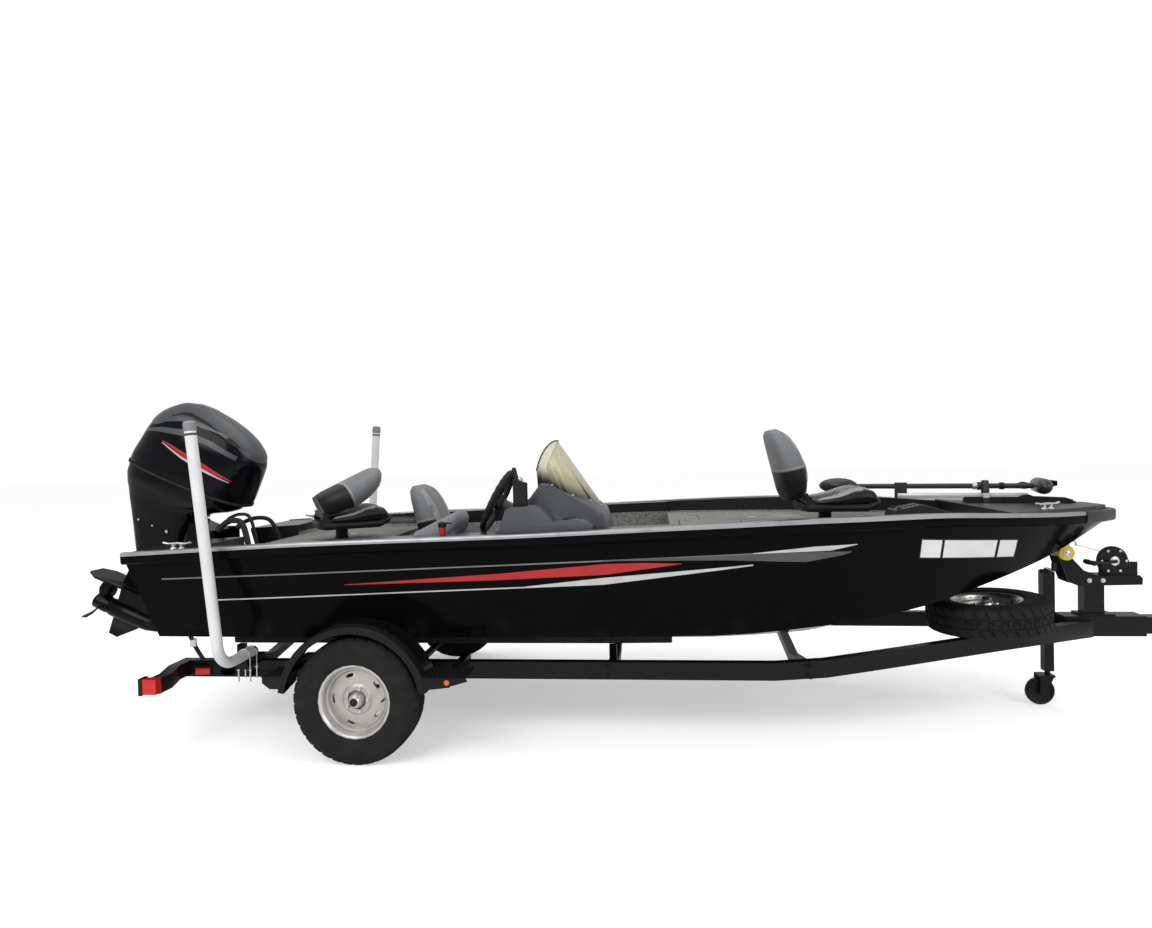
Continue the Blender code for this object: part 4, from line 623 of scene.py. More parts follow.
def many(name: str, unit: np.ndarray, spots: Sequence[Sequence[float]], tone: Tone,
         body: str) -> bpy.types.Object:
    """One closed unit of rings repeated at each spot, in one piece.

    Args:
        name: the piece's name.
        unit: rings by points by 3, about the origin.
        spots: where each copy goes.
        tone: their finish.
        body: their CAD body.

    Returns:
        The piece.
    """
    rows, cols = unit.shape[:2]
    verts = unit.reshape(1, -1, 3) + np.asarray(spots, float)[:, None]
    quads, size = ring_faces(rows, cols), rows * cols
    shift = np.arange(len(spots)) * size
    faces = (quads[None] + shift[:, None, None]).reshape(-1, 4).tolist()
    ends = np.stack([np.arange(cols), np.arange(size - cols, size)])
    faces += (ends[None] + shift[:, None, None]).reshape(-1, cols).tolist()
    return place(name, verts, faces, tone, body)


def bolts(name: str, spots: Sequence[Sequence[float]], axis: Sequence[float], radius: float, body: str,
          tone: Tone = Tone.STEEL) -> bpy.types.Object:
    """Hexagon heads on washers: a six-point profile turned about the axis."""
    washer = turned_rings([(radius * 1.5, 0), (radius * 1.5, radius * 0.25), (radius, radius * 0.25),
                           (radius, radius * 0.8), (radius * 0.8, radius)], (0, 0, 0), axis, 6)
    return many(name, washer, spots, tone, body)


def block(name: str, low: Sequence[float], high: Sequence[float], tone: Tone, body: str,
          edge: float = 0.002, turn: Optional[Matrix] = None) -> bpy.types.Object:
    """A rounded block between two corners, turned about its middle where a matrix is given."""
    low, high = np.asarray(low, float), np.asarray(high, float)
    side = np.array([(-1, -1), (1, -1), (1, 1), (-1, 1)]) / 2
    rings = np.stack([np.concatenate([side, np.full((4, 1), z)], -1) for z in (-0.5, 0.5)]) * (high - low)
    if turn is not None:
        rings = rings @ np.array(turn.to_3x3()).T
    piece = skin(name, rings + (low + high) / 2, tone, body, 30.0)
    round_edges(piece, edge)
    return piece


def round_edges(piece: bpy.types.Object, width: float, angle: float = 40.0) -> None:
    """Bevel the piece's sharp edges and keep its flats flat."""
    bevel = piece.modifiers.new("rounded edges", "BEVEL")
    bevel.width, bevel.segments, bevel.limit_method = width, 2, "ANGLE"
    bevel.angle_limit = math.radians(angle)
    bevel.harden_normals = True


def dress(node: str, tone: Tone, edge: float = 0.0, angle: float = 38.0) -> bpy.types.Object:
    """A welded copy of a CAD node under a finish, which stands for the node.

    Args:
        node: the CAD node.
        tone: its finish.
        edge: width of the rounding on its edges, or 0 for none.
        angle: edges sharper than this many degrees stay crisp.

    Returns:
        The piece.
    """
    source = bpy.data.objects[node]
    work = bmesh.new()
    work.from_mesh(source.data)
    bmesh.ops.remove_doubles(work, verts=work.verts, dist=1e-5)
    bmesh.ops.dissolve_limit(work, angle_limit=math.radians(0.5), verts=work.verts, edges=work.edges)
    mesh = bpy.data.meshes.new(node + "_dressed")
    work.to_mesh(mesh)
    work.free()
    piece = settle(node + "_dressed", mesh, tone, source["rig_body"], angle)
    if edge:
        round_edges(piece, edge, angle)
    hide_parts(node)
    return piece


def hermite(x: np.ndarray, knots: np.ndarray, values: np.ndarray) -> np.ndarray:
    """A curve without overshoot: cubic spans whose inner slopes are their neighbours' harmonic means."""
    span = np.diff(knots)
    slope = np.diff(values) / span
    product = slope[:-1] * slope[1:]
    total = np.where(product > 0, slope[:-1] + slope[1:], 1.0)
    inner = np.where(product > 0, 2 * product / total, 0.0)
    m = np.concatenate([slope[:1], inner, slope[-1:]])
    i = np.clip(np.searchsorted(knots, x) - 1, 0, len(span) - 1)
    t, h = (x - knots[i]) / span[i], span[i]
    return ((1 + 2 * t) * (1 - t)**2 * values[i] + t * (1 - t)**2 * h * m[i]
            + t * t * (3 - 2 * t) * values[i + 1] + t * t * (t - 1) * h * m[i + 1])


def columns_at(table: Sequence[Sequence[float]], x: np.ndarray) -> list[np.ndarray]:
    """Each further column of a table, as a curve over its first column."""
    rows = np.array(table, float)
    return [hermite(x, rows[:, 0], column) for column in rows[:, 1:].T]


def band(half_width: float, half_thick: float) -> np.ndarray:
    """The flat outline of a strap."""
    w, t = half_width, half_thick
    return np.array([(-w, -t), (w, -t), (w, t), (-w, t)])


# Hull, rub rail and graphics


@dataclass
class Hull:
    """Black hull with reversed chines, its rub rail, stripes and blank plates."""

    table: tuple = ((0, .360, .785, .563, .880, .983), (.95, .360, .800, .563, .915, 1.028),
                    (1.94, .360, .800, .565, .920, 1.055), (2.9, .368, .770, .567, .910, 1.088),
                    (3.48, .402, .690, .598, .860, 1.104), (3.95, .525, .560, .655, .750, 1.108),
                    (4.35, .672, .410, .750, .580, 1.090), (4.72, .795, .250, .860, .375, 1.072),
                    (5.0, .936, .110, .975, .190, 1.066), (5.13, 1.020, .030, 1.030, .070, 1.064))
    stand: tuple = ((0.0, .004), (2.2, .004), (3.0, .014), (5.13, .006))
    knuckle: float = 0.45
    chine_flat: float = 0.93
    rake: float = 0.27
    rake_end: float = 0.95
    wall: float = 0.011
    proud: float = 0.0015
    length: float = 5.13
    transom: tuple = (0.003, 0.044)
    well_half: float = 0.33
    well_top: float = 0.88
    rail_outline: tuple = ((.0006, -.034), (.012, -.034), (.020, -.028), (.022, -.016), (.022, .008),
                           (.0006, .008))
    cap_outline: tuple = ((.0006, .008), (.022, .008), (.0225, .018), (.018, .0245), (.008, .027),
                          (-.012, .027), (-.013, .0225), (.0006, .0225))
    nose_from: float = 4.88
    nose_grow: float = 1.25
    stripe_half: float = 0.0032
    plate_spans: tuple = ((3.925, 4.030), (4.045, 4.345), (4.362, 4.468))
    plate_high: float = 0.088

    def sections(self, station: np.ndarray) -> tuple[np.ndarray, ...]:
        """Keel z, chine y and z, sheer y and z and the knuckle's stand at each station."""
        return *columns_at(self.table, station), np.interp(station, *np.array(self.stand).T)

    def raked(self, station: np.ndarray, drop: np.ndarray) -> np.ndarray:
        """How far the transom's rake brings a point forward at its drop below the sheer."""
        return self.rake * np.maximum(0, 1 - station / self.rake_end) * drop

    def side(self, station: np.ndarray, height: np.ndarray, out: float = 0.0) -> np.ndarray:
        """Points on the starboard side at stations and heights, standing out by a distance.

        The side runs straight from chine to knuckle and on to the sheer, and its foot is raked
        forward at the transom.
        """
        _, chine_y, chine_z, sheer_y, sheer_z, stand = self.sections(station)
        share = (height - chine_z) / (sheer_z - chine_z)
        swell = np.where(share < self.knuckle, share / self.knuckle, (1 - share) / (1 - self.knuckle))
        y = chine_y + share * (sheer_y - chine_y) + stand * swell + out
        x = station + self.raked(station, sheer_z - height)
        return np.stack([x - MIDSHIP, -y, height], -1)

    def halves(self, station: np.ndarray, thick: float) -> np.ndarray:
        """The half outline from sheer to keel at each station, moved inwards by a thickness."""
        keel, chine_y, chine_z, _, sheer_z, _ = self.sections(station)
        mid = chine_z + self.knuckle * (sheer_z - chine_z)
        rows = [self.side(station, z, -thick) for z in (sheer_z, mid, chine_z + thick)]
        foot_x = station + self.raked(station, sheer_z - chine_z) - MIDSHIP
        rows.append(np.stack([foot_x, -self.chine_flat * chine_y + thick, chine_z - 0.002 + thick], -1))
        rows.append(np.stack([foot_x, 0 * keel, keel + thick], -1))
        half = np.stack(rows, 1)
        half[..., 1] = np.minimum(half[..., 1], 0)
        return half

    def build(self) -> None:
        """Shell, transom, rails, nose, stripes and plates."""
        self.build_shell()
        self.build_transom()
        self.build_rails()
        self.build_graphics()

    def build_shell(self) -> None:
        """Outer outline from rail to rail and back along the wall's inside, carried from transom to stem."""
        station = np.linspace(0.0, self.length, 90)
        outer, inner = self.halves(station, -self.proud), self.halves(station, self.wall)
        rings = np.concatenate([outer, outer[:, -2::-1] * FLIP, inner[:, :-1] * FLIP, inner[:, ::-1]], 1)
        shell = skin("hull_skin", rings, Tone.HULL, "hull", 24.0)
        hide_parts("hull_shell")
        LOG.info("hull skin over %d stations", len(station))

    def build_transom(self) -> None:
        """Outline of the end section with the well cut from its top, as thick as the transom."""
        half = self.halves(np.array(self.transom), 0.002)
        cut = np.concatenate([half[:, :1], half[:, :1]], 1)
        cut[:, :, 1] = -self.well_half
        cut[:, 1, 2] = self.well_top
        cut[:, 1, 0] += self.rake * (cut[:, 0, 2] - self.well_top)
        rings = np.concatenate([half, half[:, -2::-1] * FLIP, cut * FLIP, cut[:, ::-1]], 1)
        skin("transom_panel", rings, Tone.HULL, "hull", 30.0)
        LOG.info("transom panel")

    def sheer(self, station: np.ndarray) -> np.ndarray:
        """The starboard sheer line."""
        return self.side(station, self.sections(station)[4])

    def build_rails(self) -> None:
        """Rub rail, bright top strip and dark nose, each an outline carried along the sheer."""
        path = self.sheer(np.linspace(0.0, self.length - 0.02, 110))
        for name, outline, tone in (("rail", self.rail_outline, Tone.HULL),
                                    ("rail_strip", self.cap_outline, Tone.RAIL)):
            rings = carried(path, np.array(outline), UP)
            for side, mirror in MIRRORS:
                piece = skin(f"{name}_{side}", rings * mirror, tone, "hull", 30.0)
                if piece.name == "rail_starboard":
                    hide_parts("gunwale_rail")
        bow = self.sheer(np.linspace(self.nose_from, self.length, 14))
        tip_x, _, tip_z = bow[-1]
        round_nose = np.vstack([bow, [(tip_x + 0.012, -0.040, tip_z), (tip_x + 0.016, 0, tip_z)]])
        path = smooth_line(np.vstack([round_nose, round_nose[-2::-1] * FLIP]), 80)
        outline = np.array(self.rail_outline[:-1] + self.cap_outline[2:]) * (self.nose_grow, 1.06)
        skin("rail_nose", carried(path, outline, UP), Tone.TRIM, "hull", 30.0)
        LOG.info("rub rail, strip and nose")

    def film(self, name: str, low: Sequence[Sequence[float]], high: Sequence[Sequence[float]], tone: Tone,
             proud: float = 0.0008) -> None:
        """A film on both sides between two lines of (X from the transom, height).

        The X of each column is turned into its station by taking the rake off it, and each column
        goes up the outside and back down just under the skin.
        """
        low, high = np.array(low, float), np.array(high, float)
        x = np.linspace(max(low[0, 0], high[0, 0]), min(low[-1, 0], high[-1, 0]), 70)
        share = np.linspace(0, 1, 7)
        z = np.interp(x, *low.T)[:, None] * (1 - share) + np.interp(x, *high.T)[:, None] * share
        station = np.broadcast_to(x[:, None], z.shape)
        for _ in range(5):
            top = self.sections(station)[4]
            station = np.clip(x[:, None] - self.raked(station, top - z), 0, self.length)
        over, under = self.side(station, z, self.proud + proud), self.side(station, z, 0.0)
        rings = np.concatenate([over, under[:, ::-1]], 1)
        for side, mirror in MIRRORS:
            skin(f"{name}_{side}", rings * mirror, tone, "hull", 50.0)

    def build_graphics(self) -> None:
        """Pinstripes, blades and three blank plates."""
        upper = [(0.19, 0.871), (3.12, 0.973)]
        lower = [(0.46, 0.761), (1.45, 0.799), (2.42, 0.835), (3.12, 0.919)]
        for name, line, tone in (("upper", upper, Tone.STRIPE_GREY), ("lower", lower, Tone.STRIPE_SILVER)):
            edges = [[(x, z + side * self.stripe_half) for x, z in line] for side in (-1, 1)]
            self.film("pinstripe_" + name, *edges, tone)
        self.film("blade_silver_upper", [(3.12, 0.973), (3.48, 0.979), (3.606, 1.004)],
                  [(3.12, 0.976), (3.40, 1.000), (3.606, 1.0065)], Tone.STRIPE_SILVER, 0.0012)
        self.film("blade_brown", [(2.42, 0.948), (3.0, 0.945), (3.367, 0.927), (3.54, 0.955), (3.58, 0.968)],
                  [(2.42, 0.951), (3.12, 0.972), (3.40, 0.975), (3.58, 0.972)], Tone.STRIPE_BROWN)
        self.film("blade_red", [(1.15, 0.838), (1.9, 0.858), (2.43, 0.881), (2.79, 0.930)],
                  [(1.15, 0.841), (1.9, 0.889), (2.43, 0.934), (2.60, 0.937), (2.79, 0.932)],
                  Tone.RED_PAINT, 0.001)
        self.film("blade_silver_lower", [(2.05, 0.822), (2.424, 0.836), (3.11, 0.917)],
                  [(2.05, 0.826), (2.424, 0.866), (3.11, 0.921)], Tone.STRIPE_SILVER, 0.0012)
        for k, (aft, fore) in enumerate(self.plate_spans):
            for name, tone, grow, proud in (("plate_edge", Tone.PLASTIC, 0.006, 0.0008),
                                            ("plate", Tone.PLATE, 0.0, 0.0016)):
                top = [(x, 1.012 - 0.070 * (x - 3.92) + grow) for x in (aft - grow, fore + grow)]
                foot = [(x, z - self.plate_high - 2 * grow) for x, z in top]
                self.film(f"{name}_{k}", foot, top, tone, proud)
        LOG.info("graphics and blank plates")


@dataclass(frozen=True)
class DeckPaint:
    """Carpet on the decks and in the cockpit, black paint on the gunwale and in the splash well."""

    name: str
    carpet: Carpet
    black: Colour = (0.012, 0.013, 0.015)
    edge_z: float = 0.975
    edge_rise: float = 0.065
    well_x: float = -2.262
    well_half: float = 0.335

    def paint(self, bench: Bench) -> bpy.types.Material:
        """Carpet below a height that rises towards the front deck, black paint above it."""
        x, y, z = bench.axes()
        edge = self.edge_z + bench.step(x, -1.5, 0.1) * self.edge_rise
        well = (x < self.well_x) * (abs(y) < self.well_half)
        soft = (z < edge) * (1 - well)
        colour, height = self.carpet.speckle(bench)
        bench.bump(height * soft, self.carpet.pile)
        return bench.coat(Base_Color=bench.blend(soft, self.black, colour), Roughness=0.25 + soft * 0.7,
                          Specular_IOR_Level=0.25)


@dataclass
class Deck:
    """Deck moulding, lids, latches and the bow panel."""

    lids: tuple = (("lid_rod_port", "rod_lid_port"), ("lid_rod_starboard", "rod_lid_starboard"),
                   ("lid_centre", "centre_lid"), ("lid_aft_port", "aft_lid_port"),
                   ("lid_aft_starboard", "aft_lid_starboard"))
    latch_r: float = 0.026
    latch_in: float = 0.05

    def build(self) -> None:
        """Dress the moulding and lids, and set a flush latch in each lid's free edge."""
        moulding = dress("deck_moulding", Tone.TRIM, 0.0, 30.0)
        moulding.data.materials[0] = DeckPaint("deck_finish", Tone.CARPET.value).paint(Bench("deck_finish"))
        latch = [(self.latch_r, -0.004), (self.latch_r, 0.0015), (self.latch_r * 0.8, 0.002),
                 (self.latch_r * 0.72, -0.001)]
        for node, body in self.lids:
            dress(node, Tone.CARPET, 0.003)
            turned(node + "_latch", latch, self.latch_spot(node), UP, Tone.STEEL, body, 32)
            LOG.info("%s with its latch", node)
        dress("bow_cap", Tone.TRIM, 0.002)

    def latch_spot(self, node: str) -> tuple[float, float, float]:
        """The middle of a lid's free edge: forward on the centre lid, inboard on the others."""
        low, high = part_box(node)
        if node == "lid_centre":
            return high.x - self.latch_in, 0.0, high.z
        y = high.y - self.latch_in if node.endswith("starboard") else low.y + self.latch_in
        return (low.x + high.x) / 2, y, high.z


# Wheels


@dataclass
class RoadWheel:
    """Tyre with cut tread on a stepped steel wheel with five slots."""

    centre: tuple
    axis: tuple
    body: str
    tyre_node: str
    rim_node: str
    radius: float = 0.305
    half: float = 0.086
    bead: float = 0.166
    tread_half: float = 0.066
    steps: int = 408
    blocks: int = 34
    rib: float = 0.024
    groove: float = 0.0065
    notch: float = 0.005
    nuts: int = 5

    def carcass(self) -> np.ndarray:
        """The tyre's closed outline as (radius, height): bead, bulging wall, shoulder and crown."""
        wall = [(self.bead, -0.055), (self.bead + 0.006, -0.070), (self.bead + 0.022, -0.078),
                (self.bead + 0.026, -0.0815), (self.bead + 0.034, -0.0825), (self.bead + 0.060, -self.half),
                (self.bead + 0.090, -self.half + 0.001), (self.radius - 0.034, -0.0810),
                (self.radius - 0.018, -0.0765), (self.radius - 0.008, -0.0715)]
        crown = np.linspace(-self.tread_half, self.tread_half, 41)
        tread = np.stack([self.radius - 0.003 * (crown / self.tread_half)**2, crown], -1)
        wall = np.array(wall)
        return np.vstack([wall, tread, wall[::-1] * (1, -1), [(self.bead - 0.0005, 0.0)]])

    def build(self) -> None:
        """Tyre, rim, rings, nuts, hub and valve."""
        self.build_tyre()
        self.build_rim()
        LOG.info("%s and %s", self.tyre_node, self.rim_node)

    def build_tyre(self) -> None:
        """The outline turned about the axle.

        Two round grooves and staggered cross cuts lower the crown by the groove's depth, and
        notches lower the shoulders between the cuts.
        """
        outline, angle = self.carcass(), once_round(self.steps)[None]
        radius, height = outline[:, :1], outline[:, 1:]
        pitch = angle / (2 * math.pi) * self.blocks
        crown = (np.abs(height) <= self.tread_half) & (radius > self.radius - 0.005)
        shoulder = (np.abs(height) > self.tread_half) & (radius > self.radius - 0.036)
        ringed = np.abs(np.abs(height) - self.rib) < 0.0030
        cut = np.mod(pitch + np.sign(height) * 0.25 + height * 9, 1) < 0.16
        fine = (np.mod(pitch * 2, 1) < 0.10) & (np.abs(height) < self.rib)
        notched = np.mod(pitch, 1) < 0.30
        r = radius - (self.groove * (crown * (ringed | cut | fine)) + self.notch * (shoulder * notched))
        rings = np.stack([r * np.cos(angle), r * np.sin(angle), np.broadcast_to(height, r.shape)], -1)
        rings = rings @ turn_to(self.axis).T + np.array(self.centre)
        tyre = skin(self.tyre_node + "_tread", np.concatenate([rings, rings[:1]]), Tone.TYRE, self.body,
                    32.0, False)
        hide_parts(self.tyre_node)

    def build_rim(self) -> None:
        """The slotted CAD disc under a rolled lip, with lug nuts, a hub and its dark cap."""
        dress(self.rim_node, Tone.WHEEL, 0.0012)
        lip = [(0.150, 0.030), (0.157, 0.060), (0.163, 0.070), (0.1675, 0.074), (0.172, 0.0735),
               (0.1735, 0.070), (0.170, 0.066), (0.1665, 0.058), (0.162, 0.030), (0.150, 0.030)]
        step = [(0.136, 0.020), (0.140, 0.034), (0.146, 0.040), (0.151, 0.040), (0.152, 0.020),
                (0.136, 0.020)]
        for name, outline, tone in (("lip", lip, Tone.STEEL), ("step", step, Tone.WHEEL)):
            turned(f"{self.rim_node}_{name}", outline, self.centre, self.axis, tone, self.body, 96, 40.0,
                   False)
        out, turn = np.array(self.axis), turn_to(self.axis)
        spots = np.array(self.centre) + circle(0.055, self.nuts) @ turn[:, :2].T + out * 0.030
        nut = turned_rings([(0.0105, 0), (0.0105, 0.012), (0.008, 0.017), (0.002, 0.019)], (0, 0, 0),
                           self.axis, 6)
        many(self.rim_node + "_nuts", nut, spots.tolist(), Tone.STEEL, self.body)
        hub = [(0.036, 0.020), (0.034, 0.052), (0.031, 0.056), (0.028, 0.058), (0.027, 0.072),
               (0.022, 0.077), (0.002, 0.078)]
        cap = [(0.020, 0.074), (0.019, 0.081), (0.014, 0.083), (0.002, 0.0835)]
        for name, outline, tone in (("hub", hub, Tone.STEEL), ("cap", cap, Tone.RUBBER)):
            turned(f"{self.rim_node}_{name}", outline, self.centre, self.axis, tone, self.body)
        stem = [(0.005, 0), (0.004, 0.020), (0.0045, 0.021), (0.004, 0.030), (0.001, 0.031)]
        spot = np.array(self.centre) + 0.131 * turn[:, 0] + out * 0.030
        turned(self.rim_node + "_valve", stem, spot, self.axis, Tone.RUBBER, self.body, 12)


# Outboard


@dataclass
class Outboard:
    """Tilted outboard: engine cover with cap, swoosh and vents, leg, brackets, propeller and hoses."""

    pivot: tuple = (-2.652, 0.0, 1.010)
    tilt: float = math.radians(23.0)
    power: float = 0.77
    rows: tuple = ((.245, .148, -.645, .185), (.300, .152, -.640, .195), (.400, .152, -.618, .197),
                   (.485, .150, -.600, .192), (.545, .132, -.578, .180), (.600, .080, -.545, .160),
                   (.650, -.005, -.495, .125), (.690, -.130, -.440, .080), (.712, -.250, -.360, .030))
    leg: tuple = ((-.560, -.180, -.455, .028), (-.470, -.165, -.440, .036), (-.300, -.168, -.425, .050),
                  (-.100, -.165, -.525, .072), (.040, -.155, -.590, .105), (.072, -.140, -.601, .117),
                  (.120, -.030, -.625, .140), (.190, .090, -.640, .172), (.2447, .120, -.640, .178))
    cap_edge: tuple = ((-.60, .500), (-.496, .526), (-.445, .563), (-.351, .603), (-.258, .608), (-.14, .615),
                       (-.086, .610), (.009, .584), (.085, .544), (.16, .515))
    hoses: tuple = ((-0.115, 0.017, 1.10), (-0.060, 0.010, 1.13), (0.090, 0.013, 1.09))
    body: str = "outboard"

    def world(self, local: np.ndarray) -> np.ndarray:
        """Turn points measured upright from the tilt tube into the tilted rest place."""
        c, s = math.cos(self.tilt), math.sin(self.tilt)
        turn = np.array([(c, 0, s), (0, 1, 0), (-s, 0, c)])
        return local @ turn.T + np.array(self.pivot)

    def section(self, table: Sequence[Sequence[float]], z: np.ndarray, angle: np.ndarray,
                grow: float = 0.0) -> np.ndarray:
        """Points of a superellipse whose front, rear and half width change with height.

        x is the middle plus the half length times the signed power of the cosine, y is the half
        width times the signed power of the sine.
        """
        front, rear, half = columns_at(table, z)
        x = (front + rear) / 2 + ((front - rear) / 2 + grow) * squared(np.cos(angle), self.power)
        y = (half + grow) * squared(np.sin(angle), self.power)
        return np.stack([x, y, z + 0 * x], -1)

    def side(self, x: np.ndarray, z: np.ndarray, grow: float) -> np.ndarray:
        """Points on the cover's starboard side at a length and height, standing out by a distance."""
        front, rear, half = columns_at(self.rows, z)
        share = np.clip(np.abs(2 * x - front - rear) / (front - rear), 0, 0.999)**(1 / self.power)
        y = half * np.sqrt(1 - share**2)**self.power + grow
        return np.stack([x, -y, z], -1)

    def build(self) -> None:
        """Cover, cap, vents, trim, leg and brackets."""
        self.build_cover()
        self.build_trim()
        self.build_leg()
        self.build_rigging()
        LOG.info("outboard")

    def build_cover(self) -> None:
        """The cover's rings over its height, and a cap that follows them above a curved edge."""
        foot, top = self.rows[0][0], self.rows[-1][0]
        angle = once_round(128)[None]
        z = foot + (top - foot) * np.sin(np.linspace(0, math.pi / 2, 56))[:, None]
        cover = skin("engine_cover", self.world(self.section(self.rows, z, angle)), Tone.COWL, self.body,
                     50.0)
        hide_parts("engine_cowl")
        edge = np.full(angle.shape, 0.58)
        for _ in range(6):
            edge = np.interp(self.section(self.rows, edge, angle)[..., 0], *np.array(self.cap_edge).T)
        share = np.linspace(0, 1, 26)[:, None]
        lift = np.minimum(1, share * 9)
        z = edge + (top + 0.001 - edge) * np.sin(share * math.pi / 2)
        shell = self.section(self.rows, np.minimum(z, top), angle, 0.0045 * lift)
        shell[..., 2] = z + 0.003 * lift
        skin("engine_cap", self.world(shell), Tone.CAP, self.body, 50.0)

    def ribbon(self, name: str, low: Sequence, high: Sequence, tone: Tone, proud: float) -> None:
        """A patch on both sides between two lines of (length, height)."""
        low, high = np.array(low, float), np.array(high, float)
        x = np.linspace(low[0, 0], low[-1, 0], 60)[:, None]
        share = np.linspace(0, 1, 8)[None]
        z = (1 - share) * np.interp(x, *low.T) + share * np.interp(x, *high.T)
        x = x + 0 * z
        rings = np.concatenate([self.side(x, z, proud), self.side(x, z, -0.003)[:, ::-1]], 1)
        for side, mirror in MIRRORS:
            skin(f"{name}_{side}", self.world(rings * mirror), tone, self.body, 50.0)

    def build_trim(self) -> None:
        """Seam band, air inlet, a dark patch of painted shade for the cap's recess, swoosh and latch."""
        angle = once_round(128)[None]
        z = np.array([.238, .2385, .252, .2525, .252, .2385])[:, None]
        grow = np.array([.001, .006, .006, .001, -.004, -.004])[:, None]
        seam = self.section(self.rows, np.maximum(z, .245), angle, grow)
        seam[..., 2] = z + 0 * seam[..., 2]
        skin("seam_band", self.world(seam), Tone.RUBBER, self.body, 50.0)
        self.ribbon("air_inlet", [(-.425, .608), (-.375, .636), (-.325, .647), (-.219, .640), (-.115, .627)],
                    [(-.425, .612), (-.375, .652), (-.325, .665), (-.219, .655), (-.115, .631)],
                    Tone.PLASTIC, 0.009)
        # No recess is cut in the cap: a dark rubber patch stands there as painted shade.
        self.ribbon("cap_recess_painted_shade", [(-.06, .600), (-.03, .588), (.02, .578), (.05, .585)],
                    [(-.06, .604), (-.03, .620), (.02, .610), (.05, .589)], Tone.RUBBER, 0.0065)
        self.ribbon("swoosh_red", [(-.403, .455), (-.332, .440), (-.198, .408), (-.107, .394), (.072, .376)],
                    [(-.403, .459), (-.332, .455), (-.198, .436), (-.107, .424), (.072, .380)],
                    Tone.RED_PAINT, 0.0012)
        self.ribbon("swoosh_silver", [(-.40, .444), (-.25, .402), (-.10, .378), (.06, .364)],
                    [(-.40, .448), (-.25, .415), (-.10, .392), (.06, .368)], Tone.STRIPE_SILVER, 0.0012)
        self.ribbon("brow_band", [(-.57, .455), (-.45, .496), (-.30, .528), (-.12, .530), (.05, .505)],
                    [(-.57, .473), (-.45, .526), (-.30, .566), (-.12, .562), (.05, .530)], Tone.CAP, 0.003)
        c, half = self.world(np.array([(-.652, 0, .262)]))[0], (.010, .028, .030)
        turn = Matrix.Rotation(self.tilt, 3, "Y").to_4x4()
        block("cover_latch", c - half, c + half, Tone.RUBBER, self.body, 0.004, turn)

    def build_leg(self) -> None:
        """The midsection's rings under the cover, the CAD gearcase, brackets and propeller, and bolts."""
        dress("outboard_leg", Tone.COWL, 0.0, 30.0)
        z = np.linspace(self.leg[0][0], self.leg[-1][0] - 0.0005, 70)[:, None]
        rings = self.section(self.leg, z, once_round(96)[None], 0.0004)
        skin("midsection", self.world(rings), Tone.COWL, self.body, 60.0)
        dress("propeller", Tone.COWL, 0.0, 50.0)
        dress("swivel_bracket", Tone.COWL, 0.0015)
        dress("transom_bracket", Tone.COWL, 0.0015)
        spots = self.world(np.array([(-.25 - .1 * k, -.0735 + .004 * k, -.085) for k in range(3)]))
        bolts("leg_bolts", spots.tolist(), (0, -1, 0), 0.007, self.body)
        for side, sign in SIDES:
            spots = [(-2.60, sign * 0.128, height) for height in (0.74, 0.86)]
            bolts("bracket_bolts_" + side, spots, (0, sign, 0), 0.009, "hull")

    def build_rigging(self) -> None:
        """Three control hoses from the splash well to the swivel bracket, with a collar at each end.
        """
        for k, (y, radius, top) in enumerate(self.hoses):
            path = smooth_line([(-2.30, y * 1.9, 0.86), (-2.315, y * 1.8, 0.97), (-2.36, y * 1.6, top - 0.02),
                                (-2.43, y * 1.35, top), (-2.50, y * 1.1, top - 0.02),
                                (-2.545, y, top - 0.055)], 50)
            hose = tube(f"control_hose_{k}", path, radius, Tone.RUBBER, "", 16)
            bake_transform(hose)
            collar = [(radius * 1.35, -0.006), (radius * 1.35, 0.012), (radius * 1.15, 0.020),
                      (radius * 1.02, 0.021)]
            for end, spot, after, body in (("well", path[0], path[1], "hull"),
                                           ("motor", path[-1], path[-2], "outboard_swivel")):
                way = (after - spot) / np.linalg.norm(after - spot)
                turned(f"hose_collar_{end}_{k}", collar, spot, way, Tone.TRIM, body, 24)


# Seats


